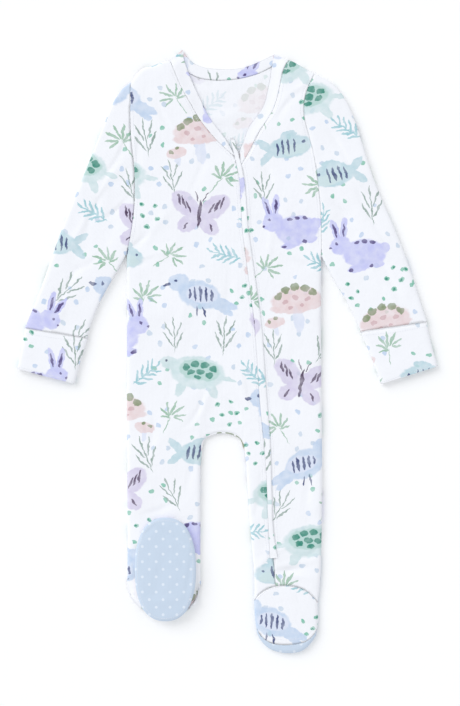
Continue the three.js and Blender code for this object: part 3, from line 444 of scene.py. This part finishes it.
def nature_print(sizes, colours):
    """The painted nature print as a node group: a place on the cloth (m) in, a colour out."""
    tree = bpy.data.node_groups.new("nature_print", "ShaderNodeTree")
    tree.interface.new_socket("Place", in_out="INPUT", socket_type="NodeSocketVector")
    tree.interface.new_socket("Colour", in_out="OUTPUT", socket_type="NodeSocketColor")
    entry = add(tree, "NodeGroupInput")
    flat = add(tree, "ShaderNodeMapping", {0: entry, 3: (1000, 1000, 0)})
    # The hand of the brush: edges that wander by about a millimetre.
    waver = add(tree, "ShaderNodeTexNoise", {"Vector": flat, "Scale": 0.17, "Detail": 2.0}, give=1)
    push = add(tree, "ShaderNodeVectorMath", {0: waver, 1: (0.5, 0.5, 0.5)}, operation="SUBTRACT")
    place = add(tree, "ShaderNodeVectorMath", {0: push, 1: (5.0, 5.0, 0.0), 2: flat},
                operation="MULTIPLY_ADD")
    # Pools of thinner and thicker paint.
    pools = add(tree, "ShaderNodeTexNoise", {"Vector": flat, "Scale": 0.11, "Detail": 3.0})
    wash = add(tree, "ShaderNodeMapRange", {0: pools, 1: 0.3, 2: 0.66, 3: 0.62, 4: 1.0})
    pitch = sizes.motif_pitch / MM
    size = pitch / 52
    third = (pitch / 3, pitch / 2)
    colour = add(tree, "ShaderNodeRGB")
    colour.default_value = colours.jersey
    for motifs, spacing, shift, order, spread, scale in (
        (SPECKS, (pitch / 2, pitch / 2), (pitch / 4, 0), (2, 1, 0), 3.0, size),
        (LEAVES, (pitch, pitch), third, (2, 1, 0), 0.5, 0.86 * size),
        (LEAVES, (pitch, pitch), (2 * pitch / 3, 0), (1, 2, 0), 0.6, 0.78 * size),
        (MOTIFS, (pitch, pitch), (0, 0), (2, 1, 0), 0.22, size),
    ):
        local, kind = half_drop(tree, place, spacing, shift, order, len(motifs), spread)
        colour = paint(tree, colour, local, kind, motifs, wash, scale)
    add(tree, "NodeGroupOutput", {0: colour})
    return tree


def cloth_surface(material, colour, bumps, roughness, sheen):
    """Ends a cloth's material: its shader and the relief of crumple, then of thread."""
    tree = material.node_tree
    normal = None
    for height, depth in bumps:
        links = {"Height": height, "Distance": depth, "Strength": 1.0}
        if normal is not None:
            links["Normal"] = normal
        normal = add(tree, "ShaderNodeBump", links)
    shader = tree.nodes["Principled BSDF"]
    shader.inputs["Roughness"].default_value = roughness
    shader.inputs["Sheen Weight"].default_value = sheen
    shader.inputs["Sheen Roughness"].default_value = 0.45
    shader.inputs["Specular IOR Level"].default_value = 0.25
    tree.links.new(colour, shader.inputs["Base Color"])
    tree.links.new(normal, shader.inputs["Normal"])
    return material


def new_material(name, seen_as):
    """An empty node material with the plain colour that it has without nodes."""
    material = bpy.data.materials.new(name)
    material.use_nodes = True
    material.diffuse_color = seen_as
    return material


def knit(tree, spacing):
    """Wales of a jersey knit along the print's own direction, as a height from 0 to 1."""
    thread = add(tree, "ShaderNodeUVMap", uv_map="print")
    scale = 2 * math.pi / (20 * spacing)
    return add(tree, "ShaderNodeTexWave", {"Vector": thread, "Scale": scale, "Distortion": 1.2,
                                           "Detail": 1.0, "Detail Scale": 2.0}, give=1, bands_direction="X")


def crumple(tree, scale, detail):
    """Soft unevenness of cloth that was folded and shaken out, as a height from 0 to 1."""
    spot = add(tree, "ShaderNodeTexCoord", give=3)
    return add(tree, "ShaderNodeTexNoise", {"Vector": spot, "Scale": scale, "Detail": detail,
                                            "Roughness": 0.45})


def printed_jersey(group):
    """Viscose jersey, single knit and printed: matt and soft, with a faint bloom at grazing light.
    Its wales are 0.7 mm apart in the real cloth and drawn 1.4 mm apart here, so that they show."""
    material = new_material("viscose_jersey_printed", linear("#F3F5FB"))
    tree = material.node_tree
    spot = add(tree, "ShaderNodeUVMap", uv_map="print")
    colour = add(tree, "ShaderNodeGroup", {0: spot}, node_tree=group)
    bumps = [(crumple(tree, 38, 3.0), 0.0016), (knit(tree, 1.4 * MM), 0.00006)]
    return cloth_surface(material, colour, bumps, 0.86, 0.12)


def jersey_wrong_side(group, colours):
    """The same jersey seen from inside: the print shows through it as a faint ghost."""
    material = new_material("viscose_jersey_wrong_side", linear("#F6F7FB"))
    tree = material.node_tree
    spot = add(tree, "ShaderNodeUVMap", uv_map="print")
    painted = add(tree, "ShaderNodeGroup", {0: spot}, node_tree=group)
    ghost = add(tree, "ShaderNodeMix", {0: 0.3, 6: tuple(colours.jersey), 7: painted}, give=2,
                data_type="RGBA")
    bumps = [(crumple(tree, 38, 3.0), 0.0016), (knit(tree, 1.4 * MM), 0.00009)]
    return cloth_surface(material, ghost, bumps, 0.9, 0.1)


def dotted_jersey(colours):
    """Pale blue jersey with small white dots in staggered rows: matt, and slowly uneven in tone."""
    material = new_material("jersey_pale_blue_dotted", linear("#CBDDEC"))
    tree = material.node_tree
    spot = add(tree, "ShaderNodeUVMap", uv_map="print")
    flat = add(tree, "ShaderNodeMapping", {0: spot, 3: (1000, 1000, 0)})
    local, _ = half_drop(tree, flat, (7.3, 16.0), (1.2, 2.0), None, 0, 0)
    reach = add(tree, "ShaderNodeVectorMath", {0: local}, give=1, operation="LENGTH")
    dot = add(tree, "ShaderNodeMapRange", {0: reach, 1: 1.75, 2: 1.25, 3: 0.0, 4: 0.85},
              interpolation_type="SMOOTHSTEP")
    tone = crumple(tree, 26, 2.0)
    shade = add(tree, "ShaderNodeMapRange", {0: tone, 1: 0.3, 2: 0.7, 3: 0.93, 4: 1.0})
    ground = add(tree, "ShaderNodeMix", {0: shade, 6: linear("#BDCEE2"), 7: tuple(colours.sole)}, give=2,
                 data_type="RGBA")
    colour = add(tree, "ShaderNodeMix", {0: dot, 6: ground, 7: tuple(colours.dots)}, give=2,
                 data_type="RGBA")
    bumps = [(crumple(tree, 60, 2.0), 0.0008), (knit(tree, 1.4 * MM), 0.00006)]
    return cloth_surface(material, colour, bumps, 0.84, 0.15)


def plain_thread(name, colour, spacing, roughness):
    """Spun polyester: thread, or the tape that is woven from it, with a slight shine."""
    material = new_material(name, tuple(colour))
    tree = material.node_tree
    spot = add(tree, "ShaderNodeTexCoord", give=3)
    twist = add(tree, "ShaderNodeTexWave", {"Vector": spot, "Scale": 2 * math.pi / (20 * spacing),
                                            "Distortion": 0.6}, give=1, bands_direction="DIAGONAL")
    # Painted shade: the low bands of the twist, the grooves of the relief, are painted a tenth darker.
    painted_groove_shade = tuple(0.9 * share for share in tuple(colour)[:3]) + (1.0,)
    tone = add(tree, "ShaderNodeMix", {0: twist, 6: painted_groove_shade, 7: tuple(colour)}, give=2, data_type="RGBA")
    return cloth_surface(material, tone, [(twist, 0.00005)], roughness, 0.1)


def floor_paper(colours):
    """Seamless studio paper: plain, pale and quite matt."""
    material = new_material("studio_paper", tuple(colours.floor))
    tree = material.node_tree
    fibres = crumple(tree, 900, 2.0)
    tone = add(tree, "ShaderNodeMapRange", {0: fibres, 3: 0.99, 4: 1.0})
    colour = add(tree, "ShaderNodeMix", {0: tone, 6: (0.9, 0.9, 0.9, 1), 7: tuple(colours.floor)}, give=2,
                 data_type="RGBA")
    return cloth_surface(material, colour, [(fibres, 0.00002)], 0.95, 0.0)


# Cloth

def smooth(value, low, high):
    """0 below low and 1 above high, with a soft start and end."""
    share = np.clip((value - low) / (high - low), 0, 1)
    return share * share * (3 - 2 * share)


def creased(points, table):
    """Rise in metres at each point (mm) from the creases of a table."""
    rise = np.zeros(len(points))
    for crease in table:
        turn = math.radians(crease["angle"])
        dx = points[:, 0] - crease["x"]
        dy = points[:, 1] - crease["y"]
        along = (dx * math.cos(turn) + dy * math.sin(turn)) / (crease["length"] / 2)
        across = dy * math.cos(turn) - dx * math.sin(turn) - crease["bow"] * along * along
        # One flank of a crease is steeper than the other.
        flank = np.where(across > 0, crease["width"] * 0.75, crease["width"] * 1.3)
        fade = np.clip(1 - along * along, 0, 1) ** 1.5
        rise += crease["rise"] * fade * np.exp(-((across / flank) ** 2))
    return rise * MM


def sunk_neck(points):
    """Drop in metres of the upper cloth near the free edge of the neckband."""
    edge = np.array(NECK_EDGE, dtype=float)
    nearest = np.full(len(points), np.inf)
    for start, end in zip(edge[:-1], edge[1:]):
        line = end - start
        share = np.clip(((points[:, :2] - start) @ line) / (line @ line), 0, 1)
        foot = start + share[:, None] * line
        nearest = np.minimum(nearest, np.linalg.norm(points[:, :2] - foot, axis=1))
    return NECK_DROP * MM * np.exp(-((nearest / NECK_REACH) ** 2))


def slack(points):
    """Slow unevenness in metres of cloth that isn't pulled flat."""
    x, y = points[:, 0], points[:, 1]
    waves = np.sin(x / 17 + y / 31 + 1.1) + np.sin(x / 23 - y / 19) + np.sin(y / 13 + 2.3 * np.sin(x / 41))
    return 0.13 * MM * waves


def select_only(obj):
    """Makes obj the only selected object and the active one."""
    bpy.ops.object.select_all(action="DESELECT")
    obj.select_set(True)
    bpy.context.view_layer.objects.active = obj


def apply_modifiers(obj):
    """Applies every modifier of obj, in order."""
    select_only(obj)
    for modifier in list(obj.modifiers):
        bpy.ops.object.modifier_apply(modifier=modifier.name)


def cloth_copy(node):
    """A cloth's own mesh on the form of its solid: merged, joined to quads, with its cut
    edges and corners creased, and then subdivided."""
    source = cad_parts[node].data
    shape = bmesh.new()
    shape.from_mesh(source)
    bmesh.ops.remove_doubles(shape, verts=shape.verts, dist=0.01 * MM)
    bmesh.ops.join_triangles(shape, faces=shape.faces, angle_face_threshold=math.radians(50),
                             angle_shape_threshold=math.radians(120))
    shape.verts.ensure_lookup_table()
    cut = shape.edges.layers.float.new("crease_edge")
    corner = shape.verts.layers.float.new("crease_vert")
    for edge in shape.edges:
        if len(edge.link_faces) == 2 and edge.calc_face_angle() > math.radians(62):
            edge[cut] = 1.0
    for vert in shape.verts:
        sharp = [edge for edge in vert.link_edges if edge[cut] > 0.5]
        if len(sharp) == 2:
            ways = [(edge.other_vert(vert).co - vert.co).normalized() for edge in sharp]
            if ways[0].dot(ways[1]) > -0.82:
                vert[corner] = 1.0
    mesh = bpy.data.meshes.new(f"{node}_cloth")
    shape.to_mesh(mesh)
    shape.free()
    piece = bpy.data.objects.new(f"{node}_cloth", mesh)
    bpy.context.scene.collection.objects.link(piece)
    levels = piece.modifiers.new("rounding", "SUBSURF")
    levels.levels = levels.render_levels = 2
    apply_modifiers(piece)
    return piece


def finer_on_top(piece, longest):
    """Splits the long edges of the faces that look up, where the creases are seen."""
    mesh = piece.data
    shape = bmesh.new()
    shape.from_mesh(mesh)
    shape.normal_update()
    seen = [face for face in shape.faces if face.normal.z > 0.35]
    edges = {edge for face in seen for edge in face.edges if edge.calc_length() > longest}
    bmesh.ops.subdivide_edges(shape, edges=list(edges), cuts=1, use_grid_fill=True, smooth=0.0)
    shape.to_mesh(mesh)
    shape.free()


def lay_creases(piece, depth, folded):
    """Moves the cloth up and down along its creases, upper and lower layers each by their own."""
    mesh = piece.data
    places = np.empty(len(mesh.vertices) * 3)
    mesh.vertices.foreach_get("co", places)
    places = places.reshape(-1, 3)
    points = places / MM
    upper = smooth(points[:, 2], 2.6, 4.6)
    if folded:
        rise = depth * creased(points, FOOT_CREASES) * smooth(points[:, 2], 9.0, 10.6)
    else:
        rise = (depth * (creased(points, CREASES) + slack(points)) - sunk_neck(points)) * upper
        lifted = np.maximum(creased(points, UNDER_CREASES), 0)
        rise += depth * lifted * (1 - smooth(points[:, 2], 1.5, 2.6))
    if piece.name.startswith("zip_guard"):
        rise -= GUARD_DROP * MM
    places[:, 2] += rise
    mesh.vertices.foreach_set("co", places.ravel())
    mesh.update()


def place_print(piece, turn, shift):
    """The piece's own map of the print, in metres: seen from above, and mirrored from below."""
    mesh = piece.data
    layer = mesh.uv_layers.new(name="print")
    corners = np.empty(len(mesh.loops), dtype=np.int64)
    mesh.loops.foreach_get("vertex_index", corners)
    places = np.empty(len(mesh.vertices) * 3)
    mesh.vertices.foreach_get("co", places)
    flat = places.reshape(-1, 3)[corners, :2]
    normals = np.empty(len(mesh.polygons) * 3)
    mesh.polygons.foreach_get("normal", normals)
    sizes = np.empty(len(mesh.polygons), dtype=np.int64)
    mesh.polygons.foreach_get("loop_total", sizes)
    below = np.repeat(normals.reshape(-1, 3)[:, 2] < -0.05, sizes)
    side = np.where(below, -1.0, 1.0)
    angle = math.radians(turn)
    across = side * flat[:, 0]
    u = across * math.cos(angle) + flat[:, 1] * math.sin(angle) + shift[0] * MM + np.where(below, 0.137, 0)
    v = flat[:, 1] * math.cos(angle) - across * math.sin(angle) + shift[1] * MM
    layer.data.foreach_set("uv", np.column_stack([u, v]).ravel())


def make_cloth(node, turn, shift, materials, sizes):
    """One cut piece of the garment, from its solid to its print."""
    piece = cloth_copy(node)
    for _ in range(2):
        finer_on_top(piece, FINE_EDGE * MM)
    lay_creases(piece, sizes.crease_depth, node in ("sole_right", "vamp_right"))
    place_print(piece, turn, shift)
    for material in materials:
        piece.data.materials.append(material)
    if len(materials) > 1:
        for face in piece.data.polygons:
            face.material_index = 1 if face.normal.z > 0.2 else 0
    select_only(piece)
    bpy.ops.object.shade_smooth_by_angle(angle=math.radians(55))
    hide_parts(node)
    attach(piece, "root")
    return piece


def cut_materials():
    """The materials of the cloths, made once and kept by the names of their groups."""
    scene = bpy.context.scene
    sizes, colours = scene.sleepsuit_sizes, scene.sleepsuit_colours
    if "viscose_jersey_printed" not in bpy.data.materials:
        group = nature_print(sizes, colours)
        printed_jersey(group)["kind"] = "print"
        jersey_wrong_side(group, colours)["kind"] = "print"
        dotted_jersey(colours)["kind"] = "dots"
        plain_thread("polyester_zip_tape", colours.zip_tape, 0.8 * MM, 0.6)["kind"] = "tape"
    return {
        "print": bpy.data.materials["viscose_jersey_printed"],
        "inside": bpy.data.materials["viscose_jersey_wrong_side"],
        "dots": bpy.data.materials["jersey_pale_blue_dotted"],
        "tape": bpy.data.materials["polyester_zip_tape"],
    }


def make_pieces(nodes):
    """Makes the named cut pieces."""
    materials = cut_materials()
    sizes = bpy.context.scene.sleepsuit_sizes
    for node, held, width, length, area, turn, x, y, group in PIECES:
        if node not in nodes:
            continue
        own = [materials[group]]
        if node == "back_panel":
            own.append(materials["inside"])
        make_cloth(node, turn, (x, y), own, sizes)


def tree_of(points):
    """A tree of points to find the nearest in."""
    tree = KDTree(len(points))
    for number, point in enumerate(points):
        tree.insert(point, number)
    tree.balance()
    return tree


def rim_of(piece):
    """The vertices of a piece's cut edges, as place and whether they look up, and a tree of
    close points along the edges that look up and of those that look down."""
    shape = bmesh.new()
    shape.from_mesh(piece.data)
    ends, lines = {}, {True: [], False: []}
    for edge in shape.edges:
        if len(edge.link_faces) < 2 or edge.calc_face_angle() < math.radians(50):
            continue
        up = [vert.normal.z > 0.2 for vert in edge.verts]
        for vert, looks_up in zip(edge.verts, up):
            ends[vert.index] = (vert.co.copy(), looks_up)
        if up[0] == up[1]:
            start, end = (vert.co for vert in edge.verts)
            lines[up[0]] += [start.lerp(end, share / 4) for share in range(5)]
    shape.free()
    return ends, {looks_up: tree_of(points) for looks_up, points in lines.items()}


def touching_boxes(pieces, reach):
    """For each piece, the numbers of the others whose boxes come within reach."""
    boxes = [[Vector(corner) for corner in piece.bound_box] for piece in pieces]
    low = [Vector(map(min, *box)) for box in boxes]
    high = [Vector(map(max, *box)) for box in boxes]
    count = range(len(pieces))

    def touch(a, b):
        return all(low[a][k] < high[b][k] + reach and low[b][k] < high[a][k] + reach for k in range(3))

    return [[b for b in count if b != a and touch(a, b)] for a in count]


def nearest_on(rims, others, spot, looks_up):
    """The nearest point on the cut edges of the other pieces, and how far it is."""
    found = [rims[other][1][looks_up].find(spot) for other in others]
    found = [(place, distance) for place, _, distance in found if place is not None]
    return min(found, key=lambda hit: hit[1], default=(None, math.inf))


def draw_together(pieces, widest, overlap, sink, soften, below=math.inf):
    """Moves cut edges that face each other across a seam until they touch and are level, lowers
    them a little, as stitches pull them in, and softens the free edges."""
    rims = [rim_of(piece) for piece in pieces]
    near = touching_boxes(pieces, widest)
    for number, piece in enumerate(pieces):
        verts = piece.data.vertices
        for index, (spot, looks_up) in rims[number][0].items():
            if spot.y > below:
                continue
            facing, way = nearest_on(rims, near[number], spot, not looks_up)
            if way < 0.7 * MM and abs(facing.z - spot.z) > math.hypot(facing.x - spot.x, facing.y - spot.y):
                verts[index].co.z = spot.z + 0.55 * (facing.z - spot.z)
                continue
            beside, way = nearest_on(rims, near[number], spot, looks_up)
            if way < widest:
                gap = Vector((beside.x - spot.x, beside.y - spot.y, 0))
                if gap.length > overlap:
                    gap *= 0.5 + overlap / gap.length
                level = 0.5 * (beside.z - spot.z) - sink if looks_up else 0
                verts[index].co = spot + gap + Vector((0, 0, level))
            elif looks_up:
                verts[index].co.z = spot.z - soften
        piece.data.update()


def close_leg(front, back):
    """Lays the front's edge at the end of the folded leg onto the edge of the back, which
    comes up round the heel, and lets the cloth above it follow."""
    start, reach = LEG_END_Y * MM, LEG_FOLLOW * MM
    hem = [spot for spot, _ in rim_of(back)[0].values() if spot.x < 0 and spot.y < start]
    flat = tree_of([Vector((spot.x, spot.y, 0)) for spot in hem])
    edge = [spot for spot, looks_up in rim_of(front)[0].values()
            if looks_up and spot.x < 0 and spot.y < start]
    moves = []
    for spot in edge:
        _, number, _ = flat.find(Vector((spot.x, spot.y, 0)))
        moves.append((hem[number] - spot) * 1.02)
    own = tree_of([Vector((spot.x, spot.y, 0)) for spot in edge])
    for vert in front.data.vertices:
        if vert.co.x > 0 or vert.co.y > start + reach:
            continue
        _, number, distance = own.find(Vector((vert.co.x, vert.co.y, 0)))
        share = max(0.0, 1 - distance / reach)
        vert.co += moves[number] * share * share * (3 - 2 * share)
    front.data.update()


# Sewing

def surface_of(names):
    """The upper surface of the named pieces, to lay stitches on."""
    corners, faces = [], []
    for name in names:
        mesh = bpy.data.objects[name].data
        start = len(corners)
        corners += [vert.co.copy() for vert in mesh.vertices]
        faces += [[start + index for index in face.vertices] for face in mesh.polygons]
    return BVHTree.FromPolygons(corners, faces)


def oval(x, y, half_width, half_length, power):
    """Points round a rounded oval, against the clock, with its first point at both ends."""
    turn = np.linspace(0, 2 * math.pi, 61)
    across = np.sign(np.cos(turn)) * np.abs(np.cos(turn)) ** (2 / power)
    along = np.sign(np.sin(turn)) * np.abs(np.sin(turn)) ** (2 / power)
    return np.column_stack([x + half_width * across, y + half_length * along])


def along_line(points, spacing, aside):
    """Places and directions at even steps along a smooth line through points (mm), moved aside."""
    knots = np.array(points, dtype=float)
    runs = np.concatenate([[0], np.cumsum(np.linalg.norm(np.diff(knots, axis=0), axis=1))])
    fine = np.linspace(0, runs[-1], 400)
    curve = np.column_stack([np.interp(fine, runs, knots[:, axis]) for axis in (0, 1)])
    for _ in range(40):
        curve[1:-1] = (curve[:-2] + 2 * curve[1:-1] + curve[2:]) / 4
    tangent = np.gradient(curve, axis=0)
    tangent /= np.linalg.norm(tangent, axis=1)[:, None]
    curve = curve + aside * np.column_stack([-tangent[:, 1], tangent[:, 0]])
    runs = np.concatenate([[0], np.cumsum(np.linalg.norm(np.diff(curve, axis=0), axis=1))])
    steps = np.arange(spacing / 2, runs[-1], spacing)
    place = np.column_stack([np.interp(steps, runs, curve[:, axis]) for axis in (0, 1)])
    way = np.column_stack([np.interp(steps, runs, tangent[:, axis]) for axis in (0, 1)])
    return place, way


def row_of_beads(name, places, ways, length, thickness, surface, sink):
    """Many small rounded beads of thread in one mesh, each lying on the surface."""
    bpy.ops.object.select_all(action="DESELECT")
    bpy.ops.mesh.primitive_uv_sphere_add(segments=8, ring_count=4, radius=1.0, rotation=(0, math.pi / 2, 0))
    bead = bpy.context.object
    bpy.ops.object.transform_apply(location=False, rotation=True, scale=False)
    shape = np.array([vert.co[:] for vert in bead.data.vertices])
    faces = [list(face.vertices) for face in bead.data.polygons]
    bpy.data.objects.remove(bead)
    shape = shape * (length / 2, thickness / 2, thickness / 2)
    corners, loops = [], []
    for place, way in zip(places * MM, ways):
        direction = Vector((way[0], way[1], 0)).normalized()
        ends = []
        for side in (-0.4, 0.4):
            start = Vector((place[0], place[1], 0)) + direction * (side * length)
            hit = surface.ray_cast(Vector((start.x, start.y, 0.1)), Vector((0, 0, -1)))[0]
            if hit is not None:
                ends.append(hit)
        if len(ends) < 2:
            continue
        ahead = (ends[1] - ends[0]).normalized()
        left = Vector((0, 0, 1)).cross(ahead).normalized()
        up = ahead.cross(left)
        centre = (ends[0] + ends[1]) / 2 + up * (thickness / 2 - sink)
        turn = np.array([ahead[:], left[:], up[:]])
        start = len(corners) * len(shape)
        corners.append(shape @ turn + np.array(centre[:]))
        loops += [[start + index for index in face] for face in faces]
    mesh = bpy.data.meshes.new(name)
    mesh.from_pydata(np.concatenate(corners).tolist(), [], loops)
    mesh.update()
    piece = bpy.data.objects.new(name, mesh)
    bpy.context.scene.collection.objects.link(piece)
    select_only(piece)
    bpy.ops.object.shade_smooth()
    return piece


def finish_trim(piece, material):
    """Gives a trim its material and lets it ride with the garment."""
    piece.data.materials.append(material)
    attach(piece, "root")


# Operators

class SLEEPSUIT_OT_body(bpy.types.Operator):
    """Makes the back and the two fronts"""

    bl_idname = "sleepsuit.body"
    bl_label = "Body"

    def execute(self, context):
        make_pieces(("back_panel", "front_right_panel", "front_left_panel"))
        return {"FINISHED"}


class SLEEPSUIT_OT_sleeves(bpy.types.Operator):
    """Makes the sleeves and the turned cuffs"""

    bl_idname = "sleepsuit.sleeves"
    bl_label = "Sleeves and cuffs"

    def execute(self, context):
        make_pieces(("sleeve_right", "sleeve_left", "cuff_right", "cuff_left"))
        return {"FINISHED"}


class SLEEPSUIT_OT_neckband(bpy.types.Operator):
    """Makes the three parts of the neckband"""

    bl_idname = "sleepsuit.neckband"
    bl_label = "Neckband"

    def execute(self, context):
        make_pieces(("neckband_right", "neckband_back", "neckband_left"))
        return {"FINISHED"}


class SLEEPSUIT_OT_feet(bpy.types.Operator):
    """Makes the tops and the dotted soles of the feet"""

    bl_idname = "sleepsuit.feet"
    bl_label = "Feet"

    def execute(self, context):
        make_pieces(("vamp_right", "vamp_left", "sole_right", "sole_left"))
        return {"FINISHED"}


class SLEEPSUIT_OT_zip(bpy.types.Operator):
    """Makes the zip's tape, its closed coil and the guard over it"""

    bl_idname = "sleepsuit.zip"
    bl_label = "Zip"

    def execute(self, context):
        make_pieces(("zip_chain", "zip_guard"))
        sizes, colours = context.scene.sleepsuit_sizes, context.scene.sleepsuit_colours
        pitch = sizes.coil_pitch
        places, ways = along_line(ZIP_LINE[:-2] + [(14.2, 191)], pitch / MM, 0)
        across = np.column_stack([-ways[:, 1], ways[:, 0]])
        surface = surface_of(["zip_chain_cloth"])
        coil = row_of_beads("zip_coil", places, across, 2.6 * MM, 0.7 * pitch, surface, 0.6 * MM)
        nylon = plain_thread("nylon_zip_coil", colours.zip_tape, 0.6 * MM, 0.35)
        finish_trim(coil, nylon)
        return {"FINISHED"}


class SLEEPSUIT_OT_seams(bpy.types.Operator):
    """Draws the cut edges together at the seams"""

    bl_idname = "sleepsuit.seams"
    bl_label = "Seams"

    def execute(self, context):
        pieces = {row[0]: bpy.data.objects[f"{row[0]}_cloth"] for row in PIECES}
        fronts = [pieces["front_right_panel"], pieces["front_left_panel"]]
        draw_together(fronts, FRONTS_REACH * MM, FRONTS_OVERLAP * MM, 0.0, 0.0, below=ZIP_END_Y * MM)
        close_leg(pieces["front_right_panel"], pieces["back_panel"])
        sewn = [piece for name, piece in pieces.items() if not name.startswith("zip")]
        draw_together(sewn, SEAM_REACH * MM, SEAM_OVERLAP * MM, SEAM_SINK * MM, EDGE_SOFTNESS * MM)
        draw_together([pieces["zip_guard"]], 0.0, 0.0, 0.0, GUARD_SOFTNESS * MM)
        return {"FINISHED"}


class SLEEPSUIT_OT_sewing(bpy.types.Operator):
    """Sews the rows of stitches beside the seams, the hems and the zip"""

    bl_idname = "sleepsuit.sewing"
    bl_label = "Sewing"

    def execute(self, context):
        sizes, colours = context.scene.sleepsuit_sizes, context.scene.sleepsuit_colours
        names = [f"{row[0]}_cloth" for row in PIECES]
        surface = surface_of(names)
        thread = plain_thread("polyester_thread", colours.thread, 0.5 * MM, 0.6)
        lines = dict(SEAMS)
        lines["guard_right"] = (ZIP_LINE, 6.4)
        lines["guard_left"] = (ZIP_LINE, -6.4)
        lines["sole_right"] = (oval(*SOLE_OVAL), 3.2)
        for name, (points, aside) in lines.items():
            places, ways = along_line(points, sizes.stitch_pitch / MM, aside)
            length = 0.72 * sizes.stitch_pitch
            row = row_of_beads(f"stitches_{name}", places, ways, length, sizes.thread, surface, 0.22 * MM)
            finish_trim(row, thread)
        return {"FINISHED"}


class SLEEPSUIT_OT_stage(bpy.types.Operator):
    """Sets the pale floor, the soft studio light and the camera straight above"""

    bl_idname = "sleepsuit.stage"
    bl_label = "Stage"

    def execute(self, context):
        scene = context.scene
        bpy.ops.object.select_all(action="DESELECT")
        bpy.ops.mesh.primitive_plane_add(size=FLOOR_SIZE, location=(0, 0, 0))
        floor = context.object
        floor.name = "studio_floor"
        floor.data.transform(floor.matrix_world)
        floor.location = (0, 0, 0)
        for vert in floor.data.vertices:
            vert.co.z = -FLOOR_GAP
        floor.data.materials.append(floor_paper(scene.sleepsuit_colours))
        world = bpy.data.worlds.new("studio_room")
        world.use_nodes = True
        world.node_tree.nodes["Background"].inputs[0].default_value = linear("#F8FAFD")
        world.node_tree.nodes["Background"].inputs[1].default_value = ROOM_LIGHT
        scene.world = world
        window = bpy.data.lights.new("window_light", "SUN")
        window.angle = math.radians(WINDOW_SPREAD)
        window.energy = WINDOW_LIGHT
        lamp = bpy.data.objects.new("window_light", window)
        lamp.rotation_euler = Vector(WINDOW_WAY).to_track_quat("-Z", "Y").to_euler()
        scene.collection.objects.link(lamp)
        camera = bpy.data.cameras.new("camera_above")
        camera.sensor_fit = "VERTICAL"
        camera.sensor_height = 36
        camera.lens = CAMERA_LENS
        viewer = bpy.data.objects.new("camera_above", camera)
        viewer.location = CAMERA_PLACE
        scene.collection.objects.link(viewer)
        scene.camera = viewer
        scene.view_settings.view_transform = "Standard"
        return {"FINISHED"}


STEPS = (
    SLEEPSUIT_OT_body,
    SLEEPSUIT_OT_sleeves,
    SLEEPSUIT_OT_neckband,
    SLEEPSUIT_OT_feet,
    SLEEPSUIT_OT_zip,
    SLEEPSUIT_OT_seams,
    SLEEPSUIT_OT_sewing,
    SLEEPSUIT_OT_stage,
)


class SLEEPSUIT_PT_steps(bpy.types.Panel):
    """Lists the steps that dress the sleepsuit"""

    bl_idname = "SLEEPSUIT_PT_steps"
    bl_label = "Sleepsuit"
    bl_space_type = "VIEW_3D"
    bl_region_type = "UI"
    bl_category = "Sleepsuit"

    def draw(self, context):
        for step in STEPS:
            self.layout.operator(step.bl_idname)
        for group in (context.scene.sleepsuit_sizes, context.scene.sleepsuit_colours):
            for name in group.__annotations__:
                self.layout.prop(group, name)


CLASSES = (SleepsuitSizes, SleepsuitColours, *STEPS, SLEEPSUIT_PT_steps)


def register():
    for item in CLASSES:
        bpy.utils.register_class(item)
    bpy.types.Scene.sleepsuit_sizes = bpy.props.PointerProperty(type=SleepsuitSizes)
    bpy.types.Scene.sleepsuit_colours = bpy.props.PointerProperty(type=SleepsuitColours)


def unregister():
    del bpy.types.Scene.sleepsuit_colours
    del bpy.types.Scene.sleepsuit_sizes
    for item in reversed(CLASSES):
        bpy.utils.unregister_class(item)


def main():
    register()
    bpy.ops.sleepsuit.body()
    bpy.ops.sleepsuit.sleeves()
    bpy.ops.sleepsuit.neckband()
    bpy.ops.sleepsuit.feet()
    bpy.ops.sleepsuit.zip()
    bpy.ops.sleepsuit.seams()
    bpy.ops.sleepsuit.sewing()
    bpy.ops.sleepsuit.stage()


if __name__ == "__main__":
    main()
